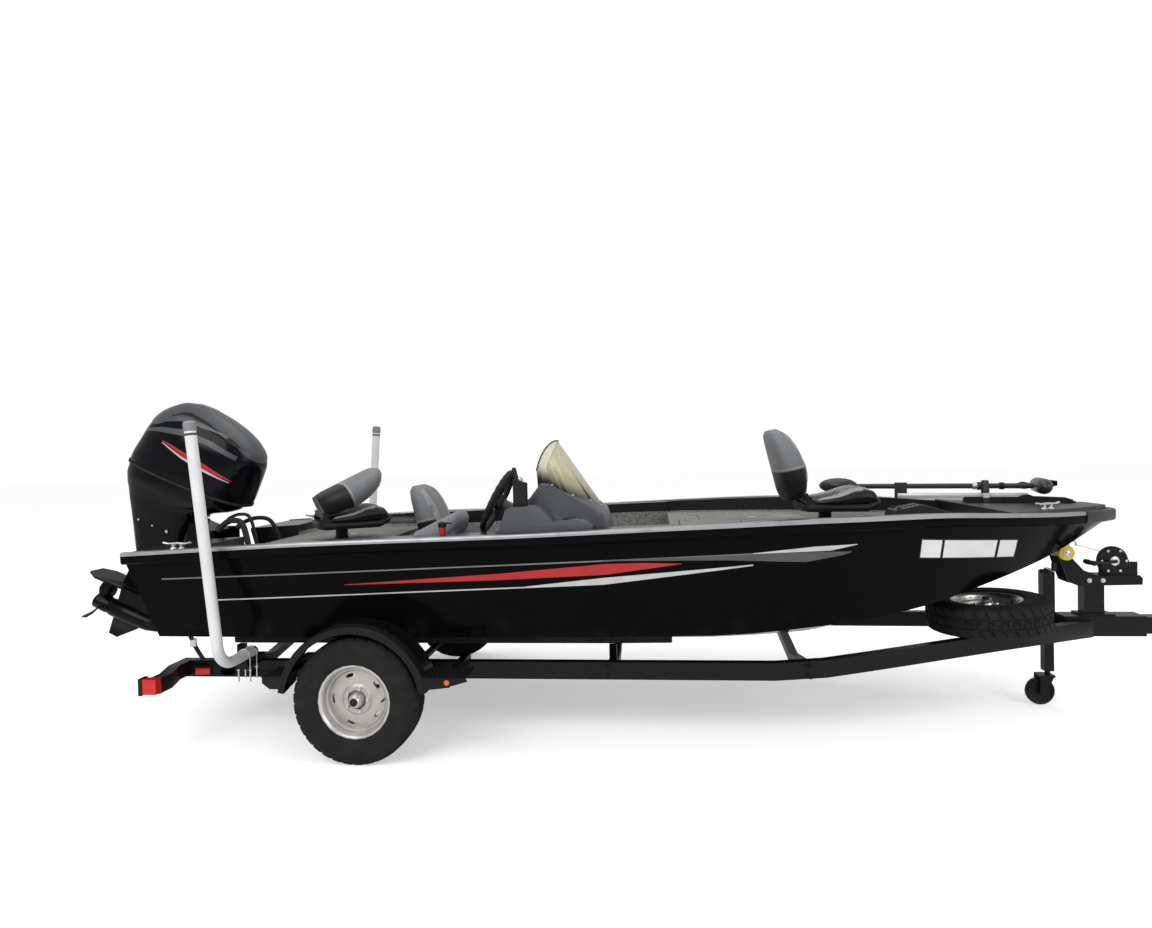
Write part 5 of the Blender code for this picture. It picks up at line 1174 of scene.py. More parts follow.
@dataclass
class SeatMould:
    """One padded base and one padded back, inflated once and set in all four seats."""

    cushion: tuple = ((-.090, .066, .180), (-.060, .072, .198), (.040, .092, .210), (.120, .122, .213),
                      (.175, .132, .212), (.226, .118, .200), (.254, .078, .172))
    back: tuple = ((.012, .000, -.118, .150), (.07, .018, -.127, .192), (.16, .032, -.128, .212),
                   (.25, .018, -.130, .208), (.33, -.006, -.133, .188), (.39, -.038, -.134, .150),
                   (.418, -.070, -.122, .095))
    pan_top: float = 0.0505
    shrink: float = 0.006
    travel: float = 0.012
    voxel: float = 0.007

    def cushion_rings(self) -> np.ndarray:
        """Rings across the cushion: a flat foot and a crown that is a flattened half ellipse."""
        x = np.linspace(self.cushion[0][0], self.cushion[-1][0], 30)[:, None]
        top, half = columns_at(self.cushion, x)
        a = once_round(48)[None]
        c, s = np.cos(a), np.sin(a)
        y = (half - self.shrink) * squared(c, 0.55)
        middle = (top + self.pan_top) / 2
        z = middle + (top - self.pan_top - self.shrink) / 2 * squared(s, 0.75)
        nearly_front = np.minimum(1, (self.cushion[-1][0] - x) * 9)
        z = z + 0.012 * np.abs(c)**3 * (s > 0) - 0.010 * (1 - np.abs(c)**2) * (s > 0) * nearly_front
        return np.stack([x + 0 * z, y, z], -1)

    def back_rings(self) -> np.ndarray:
        """Rings up the back: a superellipse from its front halfway to its rear, hollowed in front."""
        z = np.linspace(self.back[0][0], self.back[-1][0], 34)[:, None]
        front, rear, half = columns_at(self.back, z)
        rear = front * 0.5 + rear * 0.5
        a = once_round(48)[None]
        c, s = np.cos(a), np.sin(a)
        y = (half - self.shrink) * squared(c, 0.6)
        x = (front + rear) / 2 + (front - rear - self.shrink) / 2 * squared(s, 0.8)
        x = x - 0.012 * (1 - np.abs(c)**2) * (s > 0)
        return np.stack([x, y, z + 0 * x], -1)

    def inflate(self, name: str, rings: np.ndarray) -> np.ndarray:
        """Remesh a form, blow it up as cloth and cap how far each point may move.

        Args:
            name: the form's name.
            rings: its rings.

        Returns:
            Points and faces of the padded mesh.
        """
        piece = skin(name, rings, Tone.SEAT, "hull")
        remesh = piece.modifiers.new("remesh", "REMESH")
        remesh.mode, remesh.voxel_size = "VOXEL", self.voxel
        bpy.context.view_layer.objects.active = piece
        bpy.ops.object.modifier_apply(modifier=remesh.name)
        before = points_of(piece)
        after = before
        cloth = piece.modifiers.new("padding", "CLOTH")
        cloth.settings.use_pressure, cloth.settings.uniform_pressure_force = True, 4.0
        cloth.settings.effector_weights.gravity = 0.0
        cloth.settings.quality = 5
        for frame in range(1, 21):
            bpy.context.scene.frame_set(frame)
        solid = piece.evaluated_get(bpy.context.evaluated_depsgraph_get())
        after = points_of(solid)
        piece.modifiers.remove(cloth)
        bpy.context.scene.frame_set(1)
        move = after - before
        reach = np.linalg.norm(move, axis=1, keepdims=True)
        after = before + move * np.minimum(1, self.travel / np.maximum(reach, 1e-9))
        polygons = [list(p.vertices) for p in piece.data.polygons]
        bpy.data.objects.remove(piece)
        return after, polygons


def points_of(piece: bpy.types.Object) -> np.ndarray:
    """The piece's points as one array."""
    flat = np.empty(len(piece.data.vertices) * 3)
    piece.data.vertices.foreach_get("co", flat)
    return flat.reshape(-1, 3)


def mark(piece: bpy.types.Object, name: str, values: np.ndarray) -> None:
    """Keep a number for each of the piece's points, for its finish to read."""
    kept = piece.data.attributes.new(name, "FLOAT", "POINT")
    kept.data.foreach_set("value", values.astype(np.float32))


@dataclass(frozen=True)
class SeatVinyl:
    """Two tones of vinyl: a darker centre panel between lighter bolsters, piped where they meet."""

    name: str
    panel: Colour = (0.125, 0.128, 0.136)
    bolster: Colour = (0.245, 0.25, 0.258)
    edge: Colour = (0.32, 0.325, 0.33)

    def paint(self, bench: Bench) -> bpy.types.Material:
        """Colour by the distance across the seat, kept in the panel attribute; cells give the grain."""
        across = Wire(bench, bench.node("ShaderNodeAttribute", {"attribute_name": "panel"}).outputs["Fac"])
        grain, crease = leather(bench)
        centre = 1 - bench.step(across, 0.52, 0.54)
        piping = 1 - bench.step(abs(across - 0.55), 0.018, 0.030)
        colour = bench.blend(centre, self.bolster, self.panel)
        colour = bench.blend(piping, colour, self.edge)
        colour = bench.blend(bench.step(grain, 0.3, 0.9) * 0.3, colour, (0.03, 0.03, 0.033))
        bench.bump(grain * 0.3 + crease * 0.5 + piping * 2.0, 0.0008)
        return bench.coat(Base_Color=bench.blend(crease * 0.15, colour, (0.4, 0.4, 0.41)),
                          Roughness=0.4 + crease * 0.22, Specular_IOR_Level=0.4)


@dataclass(frozen=True)
class BackShell:
    """Black moulded shell below the middle of a seat's back, grey vinyl above it."""

    name: str
    colour: Colour = (0.19, 0.195, 0.205)
    shell: Colour = (0.007, 0.007, 0.0075)
    split: float = 0.175

    def paint(self, bench: Bench) -> bpy.types.Material:
        """The height up the back is kept in the height attribute; a stitched line marks the split."""
        height = Wire(bench, bench.node("ShaderNodeAttribute", {"attribute_name": "height"}).outputs["Fac"])
        soft = bench.step(height, self.split, self.split + 0.003)
        seam = 1 - bench.step(abs(height - self.split - 0.012), 0.002, 0.004)
        grain, crease = leather(bench)
        vinyl = bench.blend(bench.step(grain, 0.2, 0.9), self.colour, shade(self.colour, 0.72))
        vinyl = bench.blend(seam, vinyl, shade(self.colour, 1.6))
        bench.bump((grain * 0.5 + crease * 0.5) * soft + seam, 0.0006)
        return bench.coat(Base_Color=bench.blend(soft, self.shell, vinyl), Roughness=0.4 + crease * 0.18,
                          Specular_IOR_Level=0.3)


@dataclass
class BoatSeat:
    """One seat: post, pan, back shell and the two pads."""

    name: str
    post: tuple
    swivel: float
    fold: float
    base_body: str
    back_body: str
    pads: dict
    hinge: tuple = (-0.118, 0.075)
    lean: float = -12.0
    pedestal: bool = True

    def build(self, vinyl: bpy.types.Material, backs: bpy.types.Material) -> None:
        """Dress the pan and shell, and set the pads on them."""
        dress(f"seat_{self.name}_base", Tone.PLASTIC, 0.003)
        if self.pedestal:
            dress(f"seat_{self.name}_post", Tone.PLASTIC, 0.002)
        turn = np.array(Matrix.Rotation(math.radians(self.swivel), 3, "Z"))
        lean = np.array(Matrix.Rotation(math.radians(self.lean + self.fold), 3, "Y"))
        hinge, post = np.array([self.hinge[0], 0, self.hinge[1]]), np.array(self.post)
        shell = dress(f"seat_{self.name}_back", Tone.SEAT, 0.0, 60.0)
        mark(shell, "height", (((points_of(shell) - post) @ turn - hinge) @ lean)[:, 2])
        shell.data.materials[0] = backs
        for part, body in (("base", self.base_body), ("back", self.back_body)):
            points, faces = self.pads[part]
            half = np.abs(points[:, 1]).max()
            local = points if part == "base" else points @ lean.T + hinge
            piece = place(f"seat_{self.name}_{part}_pad", local @ turn.T + post, faces, Tone.SEAT, body, 80.0)
            mark(piece, "panel", np.abs((points_of(piece) - post) @ turn)[:, 1] / half)
            piece.data.materials[0] = vinyl
            smooth = piece.modifiers.new("soft", "SUBSURF")
            smooth.levels = smooth.render_levels = 1
        LOG.info("seat_%s", self.name)


def build_seats() -> None:
    """Inflate the two pads once and build the four seats with them."""
    mould = SeatMould()
    pads = {"base": mould.inflate("base_form", mould.cushion_rings()),
            "back": mould.inflate("back_form", mould.back_rings())}
    vinyl = SeatVinyl("two_tone_vinyl").paint(Bench("two_tone_vinyl"))
    backs = BackShell("seat_back_shell").paint(Bench("seat_back_shell"))
    for name, post, swivel, fold, base_body, back_body, pedestal in (
            ("bow", (1.043, 0.0, 1.098), 0, 0, "bow_seat", "bow_seat_back", True),
            ("aft", (-1.827, 0.0, 1.035), 33, 78, "aft_seat", "aft_seat_back", True),
            ("driver", (-1.177, -0.44, 0.8003), 0, 78, "hull", "driver_back", False),
            ("passenger", (-1.177, 0.44, 0.8003), 0, 0, "hull", "passenger_back", False)):
        seat = BoatSeat(name, post, swivel, fold, base_body, back_body, pads, pedestal=pedestal)
        seat.build(vinyl, backs)


# Seating small parts on CAD surfaces


@lru_cache(maxsize=None)
def tree_of(node: str) -> BVHTree:
    """A search tree over a CAD node's triangles."""
    mesh = bpy.data.objects[node].data
    return BVHTree.FromPolygons([v.co for v in mesh.vertices], [p.vertices for p in mesh.polygons])


def seat_on(node: str, start: Sequence[float], way: Sequence[float]) -> tuple[Vector, Vector]:
    """Where a ray meets a CAD node, and the outward normal there.

    Args:
        node: the CAD node.
        start: the ray's start.
        way: its direction.

    Returns:
        The point and the normal, or the start and the reversed direction where it misses.
    """
    spot, normal, _, _ = tree_of(node).ray_cast(Vector(start), Vector(way).normalized())
    if spot is None:
        LOG.warning("nothing of %s ahead of %s", node, tuple(start))
        return Vector(start), -Vector(way).normalized()
    return spot, normal if normal.dot(Vector(way)) < 0 else -normal


def cleat(name: str, spot: Vector, along: Sequence[float], body: str) -> None:
    """A two-horned cleat: a bent bar over two feet."""
    way = np.array(along, float)
    base = np.array(spot)
    bend = ((-.075, .030), (-.045, .024), (0, .026), (.045, .024), (.075, .030))
    line = [base + way * d + np.array((0, 0, h)) for d, h in bend]
    tube(name + "_horns", smooth_line(line, 24), 0.0065, Tone.STEEL, body, 14)
    foot = [(0.016, -0.002), (0.014, 0.003), (0.008, 0.008), (0.0075, 0.026)]
    for k, d in enumerate((-0.022, 0.022)):
        turned(f"{name}_foot_{k}", foot, base + way * d, UP, Tone.STEEL, body, 20)


def build_cleats() -> None:
    """A pair of cleats on the bow panel and a pair beside the splash well."""
    for name, node, x, y, along in (("bow_cleat", "bow_cap", 2.10, 0.30, (0.93, -0.36, 0)),
                                    ("stern_cleat", "deck_moulding", -2.36, 0.80, (1, 0, 0))):
        for side, sign in SIDES:
            spot, _ = seat_on(node, (x, y * sign, 1.5), DOWN)
            cleat(f"{name}_{side}", spot, (along[0], along[1] * sign, 0), "hull")


# Helm


@dataclass
class Helm:
    """Console with gauges, cup recess, screen, steering wheel, throttle and extinguisher."""

    hub: tuple = (-0.752, -0.5, 1.212)
    column: tuple = (-0.892, 0.0, 0.452)
    grip_r: float = 0.165
    grip_thick: float = 0.0158
    finger_swell: float = 0.0009
    gauges: tuple = ((-0.615, 1.165, 0.030), (-0.385, 1.165, 0.030), (-0.560, 1.235, 0.024),
                     (-0.500, 1.250, 0.024), (-0.440, 1.235, 0.024))
    cup: tuple = (-0.327, -0.80, 0.038)
    bottle: tuple = (-0.992, -0.725, 0.965)

    def build(self) -> None:
        """Console, screen, wheel and small controls."""
        dress("console", Tone.CONSOLE, 0.006, 26.0)
        self.build_dash()
        self.build_screen()
        self.build_wheel()
        self.build_extinguisher()
        dress("throttle_control", Tone.PLASTIC, 0.003)
        spot, _ = seat_on("throttle_control", (-0.574, -0.815, 1.6), DOWN)
        knob = [(0.004, -0.004), (0.012, 0.0), (0.014, 0.010), (0.010, 0.017), (0.002, 0.019)]
        turned("throttle_knob", knob, spot, UP, Tone.STEEL, "hull", 24)
        LOG.info("helm")

    def build_dash(self) -> None:
        """Gauges with bright bezels where rays from the driver meet the dash, and a ringed cup holder whose
        hollow is a flat dark disc of painted shade.
        """
        for k, (y, z, r) in enumerate(self.gauges):
            spot, normal = seat_on("console", (-0.95, y, z + 0.08), (1, 0, -0.18))
            bezel = [(r + .005, -.010), (r + .005, .004), (r + .002, .007), (r - .001, .006),
                     (r - .003, .001), (.002, .001)]
            face = [(r - .003, 0.0), (r - .003, .003), (.002, .0035)]
            turned(f"gauge_bezel_{k}", bezel, spot, normal, Tone.STEEL, "hull", 40)
            turned(f"gauge_face_{k}", face, spot, normal, Tone.GLASS, "hull")
            needle = np.array(spot) + np.array(normal) * 0.004
            block(f"gauge_needle_{k}", needle - (.0006, r * .05, .001), needle + (.0006, r * .75, .001),
                  Tone.PLATE, "hull", 0.0002)
        x, y, r = self.cup
        spot, _ = seat_on("console", (x, y, 1.6), DOWN)
        ring = [(r - .002, -.006), (r + .006, -.004), (r + .007, .002), (r + .003, .004), (r - .001, .002)]
        turned("cup_ring", ring, spot, UP, Tone.TRIM, "hull")
        # No hollow is cut for the cup: a flat dark disc inside the ring is painted shade.
        turned("cup_hollow_painted_shade", [(r, -.004), (r, .0012), (.002, .0012)], spot, UP, Tone.RUBBER, "hull")
        switches = [seat_on("console", (-0.95, -0.655 + 0.022 * k, 1.30), (1, 0, -0.2))[0] for k in range(3)]
        rocker = turned_rings([(0.008, -0.003), (0.008, 0.004), (0.006, 0.006), (0.001, 0.006)], (0, 0, 0),
                              self.column, 4)
        many("rocker_switches", rocker, [list(spot) for spot in switches], Tone.PLASTIC, "hull")

    def build_screen(self) -> None:
        """The CAD screen under its tint, with a bead along its free edge.

        The edge runs round an ellipse of 0.060 by 0.200, and falls by 0.150 with the angle's
        power of 2.5.
        """
        dress("windshield", Tone.SCREEN, 0.0, 60.0)
        reach = math.radians(115)
        a = np.linspace(-1, 1, 70) * reach
        edge = np.stack([2.110 + 0.060 * np.cos(a) - MIDSHIP, -0.5 + 0.200 * np.sin(a),
                         1.525 - 0.150 * np.abs(a / reach)**2.5], -1)
        tube("screen_bead", edge, 0.0035, Tone.TRIM, "hull", 10)
        foot = np.stack([2.190 + 0.225 * np.cos(a) - MIDSHIP, -0.5 + 0.232 * np.sin(a)], -1)
        spots = []
        for k in range(6, 64, 8):
            x, y = foot[k, 0] * 0.97 + edge[k, 0] * 0.03, foot[k, 1]
            spots.append(list(seat_on("console", (x, y, 1.7), DOWN)[0]))
        bolts("screen_screws", spots, UP, 0.006, "hull")

    def build_wheel(self) -> None:
        """Grip whose minor radius swells between the fingers, three spokes and a horn boss.

        A grip point is the hub plus the major radius round the column plus the minor radius,
        which varies with the cosine of 24 times the major angle.
        """
        dress("steering_wheel", Tone.RUBBER, 0.0015)
        turn, hub = turn_to(self.column), np.array(self.hub)
        major, minor = np.linspace(0, 2 * math.pi, 193)[:, None], once_round(20)[None]
        thick = self.grip_thick + self.finger_swell * np.cos(24 * major)
        r = self.grip_r + thick * np.cos(minor)
        rings = np.stack([r * np.cos(major), r * np.sin(major), thick * np.sin(minor) + 0 * r], -1)
        skin("wheel_grip", rings @ turn.T + hub, Tone.RUBBER, "helm", caps=False)
        flat = np.array([(-.017, -.002), (.017, -.002), (.019, 0), (.017, .003), (-.017, .003), (-.019, 0)])
        for k in range(3):
            a = math.radians(90 + 120 * k)
            way = np.array((math.cos(a), math.sin(a), 0.0))
            line = [way * 0.02 + (0, 0, .012), way * 0.08 + (0, 0, .010), way * 0.155 + (0, 0, .003)]
            rings = carried(smooth_line(line, 16) @ turn.T + hub, flat, turn @ np.array(UP))
            skin(f"wheel_spoke_{k}", rings, Tone.STRIPE_GREY, "helm", 30.0)
        boss = [(0.046, 0.002), (0.046, 0.012), (0.042, 0.019), (0.030, 0.022), (0.029, 0.020),
                (0.002, 0.021)]
        turned("wheel_boss", boss, self.hub, self.column, Tone.TRIM, "helm")

    def build_extinguisher(self) -> None:
        """A red bottle with a domed shoulder, black head, lever and strap."""
        bottle = [(0.028, 0.0), (0.034, 0.004), (0.035, 0.012), (0.035, 0.050), (0.030, 0.062),
                  (0.020, 0.070), (0.0175, 0.078), (0.0170, 0.136), (0.012, 0.142)]
        piece = turned("extinguisher_bottle", bottle, self.bottle, UP, Tone.RED_PAINT, "hull", 40)
        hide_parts("extinguisher")
        head = [(0.016, 0.134), (0.021, 0.140), (0.021, 0.156), (0.014, 0.163), (0.002, 0.165)]
        turned("extinguisher_head", head, self.bottle, UP, Tone.PLASTIC, "hull", 24)
        x, y, z = self.bottle
        block("extinguisher_lever", (x - .010, y - .007, z + .152), (x + .048, y + .007, z + .160),
              Tone.PLASTIC, "hull")
        strap = [(.0352, .020), (.0362, .021), (.0362, .039), (.0352, .040)]
        turned("extinguisher_band", strap, self.bottle, UP, Tone.WEBBING, "hull", 40)


# Bow motor


@dataclass
class BowMotor:
    """Folded bow motor on its base, with strap, buckle and collars, and the foot pedal."""

    pivot: tuple = (2.203, 0.150, 1.150)
    yaw: float = math.radians(-16.0)
    shaft_up: float = 0.058
    shaft_r: float = 0.0155

    def world(self, local: Sequence[Sequence[float]]) -> np.ndarray:
        """Points from the motor's own axes, along and across its arms, about the arms' pivot."""
        turn = np.array(Matrix.Rotation(self.yaw, 3, "Z"))
        return np.asarray(local, float) @ turn.T + np.array(self.pivot)

    def build(self) -> None:
        """Dress the CAD nodes and add what is tied or screwed to them."""
        dress("trolling_base", Tone.PLASTIC, 0.002)
        dress("trolling_arms", Tone.SILVER, 0.002)
        dress("trolling_shaft", Tone.POD, 0.0, 40.0)
        dress("trolling_prop", Tone.PLASTIC, 0.0, 50.0)
        way = np.array(Matrix.Rotation(self.yaw, 3, "Z") @ Vector((1, 0, 0)))
        for k, (d, r, tone) in enumerate(((-.12, .021, Tone.PLASTIC), (-.235, .024, Tone.TRIM),
                                          (-.26, .021, Tone.STEEL))):
            spot = self.world([(d, 0, self.shaft_up)])[0]
            collar = [(self.shaft_r * .9, -.014), (r, -.012), (r, .012), (self.shaft_r * .9, .014)]
            turned(f"shaft_collar_{k}", collar, spot, way, tone, "bow_motor", 28)
        self.build_strap()
        self.build_pedal()
        LOG.info("bow motor and pedal")

    def build_strap(self) -> None:
        """A hold-down strap looped over the arms between two feet on the deck, with a buckle."""
        low = -0.042
        line = self.world([(-.205, -.052, low), (-.205, -.050, .03), (-.205, -.030, .084), (-.205, .0, .090),
                           (-.205, .030, .084), (-.205, .050, .03), (-.205, .052, low)])
        path = smooth_line(line, 60)
        outward = (path - path.mean(0))[len(path) // 2]
        rings = carried(path, band(.016, .0009)[:, ::-1], np.cross(path[-1] - path[0], outward))
        skin("hold_down_strap", rings, Tone.WEBBING, "hull", 50.0)
        c = self.world([(-.205, -.053, .005)])[0]
        block("strap_buckle", c - (.019, .004, .014), c + (.019, .002, .014), Tone.STEEL, "hull", 0.0015)

    def build_pedal(self) -> None:
        """The pedal's treads and two round switches on its top."""
        dress("foot_pedal", Tone.TRIM, 0.003)
        low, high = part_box("foot_pedal")
        middle = (low.y + high.y) / 2
        ribs = [(low.x + 0.060 + k * 0.022, middle) for k in range(9)]
        knobs = [(low.x + 0.040, y) for y in (low.y + 0.022, high.y - 0.022)]
        rib = turned_rings([(0.003, -0.042), (0.003, 0.042)], (0, 0, 0), (0, 1, 0), 8)
        knob = turned_rings([(0.012, -0.003), (0.012, 0.006), (0.009, 0.009), (0.001, 0.0095)], (0, 0, 0),
                            UP, 20)
        for name, unit, places in (("pedal_ribs", rib, ribs), ("pedal_switches", knob, knobs)):
            spots = [list(seat_on("foot_pedal", (x, y, 1.4), DOWN)[0]) for x, y in places]
            many(name, unit, spots, Tone.RUBBER, "hull")


# Trailer


@dataclass
class Trailer:
    """Frame, fenders with treads, guide poles, lamps, straps and tongue gear."""

    pole_x: float = 0.552
    pole_y: float = 0.992
    pole_r: float = 0.027
    bend: float = 0.130
    pole_low: float = 0.456
    poles: tuple = ((-1, "guide_pole_starboard", 0.447, 1.651), (1, "guide_pole_port", 0.636, 1.678))
    steps: tuple = ((0.812, 0.892), (1.580, 1.768))
    step_y: tuple = (0.866, 1.026)
    step_top: float = 0.432
    stud_pitch: float = 0.020
    clamps: tuple = (0.690, 0.755)
    roller: tuple = (2.308, 0.0, 0.84938)

    def build(self) -> None:
        """Every piece below and around the boat."""
        for node, tone, edge in (("trailer_frame", Tone.FRAME, .003), ("axle", Tone.FRAME, .001),
                                 ("bunk_port", Tone.BUNK, .006), ("bunk_starboard", Tone.BUNK, .006),
                                 ("coupler", Tone.FRAME, .003), ("jack_tube", Tone.FRAME, .002),
                                 ("jack_leg", Tone.FRAME, .002), ("jack_fork", Tone.FRAME, .002),
                                 ("jack_wheel", Tone.PLASTIC, .0015), ("winch", Tone.FRAME, .001),
                                 ("winch_stand", Tone.FRAME, .001)):
            dress(node, tone, edge)
        self.build_fenders()
        for pole in self.poles:
            self.build_pole(*pole)
        self.build_lamps()
        self.build_roller()
        self.build_winch()
        self.build_jack()
        LOG.info("trailer")

    def build_fenders(self) -> None:
        """Pressed fenders with rows of raised tread on their steps."""
        stud = turned_rings([(0.006, 0), (0.005, 0.0022), (0.002, 0.0026)], (0, 0, 0), UP, 4)
        ys = np.linspace(*self.step_y, 8)
        for side, sign in SIDES:
            dress("fender_" + side, Tone.FRAME, 0.0, 32.0)
            spots = []
            for aft, fore in self.steps:
                gx, gy = np.meshgrid(np.arange(aft, fore, self.stud_pitch), ys, indexing="ij")
                gx = gx + self.stud_pitch / 2 * (np.arange(len(ys)) % 2)
                rows = np.stack([gx - MIDSHIP, sign * gy, 0 * gx + self.step_top - 0.0005], -1)
                spots.append(rows.reshape(-1, 3))
            many(f"step_tread_{side}", stud * (1.4, 0.8, 1), np.vstack(spots).tolist(), Tone.FRAME, "hull")

    def build_pole(self, sign: int, node: str, top_x: float, top_z: float) -> None:
        """A plastic pole: straight along its arm, a quarter-circle elbow, then a lean to its top."""
        turn = np.linspace(0, math.pi / 2, 14)
        elbow = np.stack([0 * turn + self.pole_x, self.pole_y - self.bend * (1 - np.sin(turn)),
                          self.pole_low + self.bend * (1 - np.cos(turn))], -1)
        start = np.array([(self.pole_x, 0.660, self.pole_low)])
        rise = np.linspace(elbow[-1], (top_x, self.pole_y, top_z), 12)[1:]
        path = np.vstack([start, elbow, rise]) * (1, sign, 1) - (MIDSHIP, 0, 0)
        pole = tube(node + "_tube", path, self.pole_r, Tone.PEARL, "hull", 28)
        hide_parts(node)
        way = path[-1] - path[-2]
        way /= np.linalg.norm(way)
        cap = [(0.0272, -0.030), (0.0292, -0.028), (0.0292, 0.006), (0.027, 0.013), (0.020, 0.018),
               (0.010, 0.020), (0.001, 0.0205)]
        turned(node + "_cap", cap, path[-1] - way * 0.014, way, Tone.GREY_CAP, "hull", 32)
        ring = [(0.0272, 0), (0.0280, 0.001), (0.0280, 0.011), (0.0272, 0.012)]
        turned(node + "_band", ring, path[-1] - way * 0.066, way, Tone.STRIPE_BROWN, "hull", 32)
        a, r = np.linspace(0, math.pi, 16), self.pole_r + 0.0045
        arch = np.stack([np.cos(a) * r, 0 * a, np.sin(a) * r], -1)
        down = np.array([(0, 0, -0.135)])
        for k, y in enumerate(self.clamps):
            loop = np.vstack([arch[:1] + down, arch, arch[-1:] + down])
            loop = loop + (self.pole_x - MIDSHIP, sign * y, self.pole_low)
            tube(f"{node}_clamp_{k}", loop, 0.0042, Tone.STEEL, "hull", 10)
            nuts = [(self.pole_x - MIDSHIP + s * r, sign * y, self.pole_low - 0.072) for s in (-1, 1)]
            bolts(f"{node}_nuts_{k}", nuts, DOWN, 0.0075, "hull")

    def build_lamps(self) -> None:
        """Tail lamps in dark housings, red and amber markers, the transom tie-down and rail bolts."""
        rim = 0.0045
        lens = [(0.0125, 0.0), (0.0125, 0.002), (0.010, 0.003), (0.009, 0.006), (0.001, 0.008)]
        for side, sign in SIDES:
            dress("tail_light_" + side, Tone.RED, 0.003)
            low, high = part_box("tail_light_" + side)
            block(f"lamp_housing_{side}", (low.x - rim, low.y - rim, low.z - rim),
                  (low.x + 0.014, high.y + rim, high.z + rim), Tone.PLASTIC, "hull", 0.002)
            block(f"marker_red_{side}", (0.205 - MIDSHIP, sign * 0.631 - 0.006, 0.318),
                  (0.288 - MIDSHIP, sign * 0.631 + 0.006, 0.352), Tone.RED, "hull", 0.003)
            block(f"marker_red_base_{side}", (0.198 - MIDSHIP, sign * 0.627 - 0.004, 0.311),
                  (0.295 - MIDSHIP, sign * 0.627 + 0.004, 0.359), Tone.PLASTIC, "hull", 0.002)
            turned(f"marker_amber_{side}", lens, (1.696 - MIDSHIP, sign * 1.0395, 0.412), (0, sign, 0),
                   Tone.AMBER, "hull", 24)
            path = smooth_line([(0.245, sign * 0.62, 0.395), (0.225, sign * 0.66, 0.48),
                                (0.200, sign * 0.70, 0.600), (0.178, sign * 0.72, 0.66)], 24)
            path = path - (MIDSHIP, 0, 0)
            skin(f"tie_down_{side}", carried(path, band(.013, .001), (0, 1, 0)), Tone.WEBBING, "hull", 50.0)
            c, half = path[9], (.017, .006, .022)
            block(f"tie_down_buckle_{side}", c - half, c + half, Tone.STEEL, "hull", 0.003)
            spots = [(x - MIDSHIP, sign * 0.6255, z) for x in (1.62, 2.42, 3.42) for z in (0.325, 0.373)]
            bolts(f"rail_bolts_{side}", spots, (0, sign, 0), 0.008, "hull", Tone.FRAME)

    def build_roller(self) -> None:
        """A yellow keel roller with a waist between flanges and a bell at each end, on a bright pin."""
        half = [(0.0105, 0.080), (0.034, 0.0805), (0.040, 0.077), (0.040, 0.0585), (0.034, 0.0560),
                (0.026, 0.0555), (0.026, 0.0470), (0.034, 0.0455), (0.033, 0.036), (0.026, 0.022),
                (0.022, 0.0)]
        outline = half + [(r, -h) for r, h in half[-2::-1]] + half[:1]
        roller = turned("keel_roller_rubber", outline, self.roller, (0, 1, 0), Tone.YELLOW, "keel_roller",
                        56, caps=False)
        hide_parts("bow_roller")
        nut = [(0.020, 0.0), (0.020, 0.003), (0.0125, 0.003), (0.012, 0.011), (0.007, 0.013),
               (0.001, 0.0135)]
        for side, sign in SIDES:
            spot = np.array(self.roller) + (0, sign * 0.0805, 0)
            turned(f"roller_pin_{side}", nut, spot, (0, sign, 0), Tone.STEEL, "hull", 24)

    def build_winch(self) -> None:
        """Gear cover bolts, tapered handle, strap from the drum to a hook in the bow eye."""
        x, z = 5.145 - MIDSHIP, 0.805
        spots = [(x + a, -0.0805, z + b) for a, b in circle(0.062, 6)]
        bolts("gear_cover_bolts", spots, (0, -1, 0), 0.005, "hull")
        centre = [(0.026, 0), (0.024, 0.006), (0.012, 0.009), (0.001, 0.010)]
        turned("gear_cover_centre", centre, (x, -0.0803, z), (0, -1, 0), Tone.STEEL, "hull", 32)
        grip = [(0.008, 0.0), (0.013, 0.004), (0.014, 0.030), (0.0115, 0.066), (0.013, 0.090),
                (0.010, 0.097), (0.001, 0.099)]
        turned("winch_handle", grip, (4.985 - MIDSHIP, -0.098, 0.808), (0, -1, 0), Tone.RUBBER, "hull", 28)
        eye = np.array((4.955 - MIDSHIP, 0.0, 0.893))
        path = smooth_line([(5.170 - MIDSHIP, 0, 0.826), (5.100 - MIDSHIP, 0, 0.852),
                            tuple(eye + (.045, 0, -.010))], 20)
        skin("winch_strap", carried(path, band(.020, .001), UP), Tone.STRAP, "hull", 50.0)
        a = np.linspace(-0.4, math.pi * 1.5, 28)
        hook = eye + np.stack([0.020 * np.cos(a) + 0.018, 0 * a, 0.020 * np.sin(a) - 0.006], -1)
        tube("winch_hook", hook, 0.0048, Tone.STEEL, "hull", 12)
        spots = [(5.03 - MIDSHIP + d, -0.0563, 0.695) for d in (0.0, 0.07)]
        bolts("stand_bolts", spots, (0, -1, 0), 0.009, "hull")

    def build_jack(self) -> None:
        """The jack's top cap with its crank."""
        x, y, top = 4.825 - MIDSHIP, -0.020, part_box("jack_tube")[1].z
        cap = [(0.036, -0.012), (0.036, 0.002), (0.032, 0.006), (0.012, 0.008), (0.010, 0.016),
               (0.001, 0.017)]
        turned("jack_cap", cap, (x, y, top), UP, Tone.FRAME, "hull", 32)
        line = smooth_line([(x, y, top + 0.010), (x - 0.01, y - 0.03, top + 0.018),
                            (x - 0.02, y - 0.12, top + 0.018)], 16)
        tube("jack_crank", line, 0.006, Tone.STEEL, "hull", 12)
        grip = [(0.009, 0), (0.013, 0.004), (0.013, 0.040), (0.009, 0.046), (0.001, 0.047)]
        turned("jack_crank_grip", grip, line[-1], UP, Tone.RUBBER, "hull", 20)


# Studio


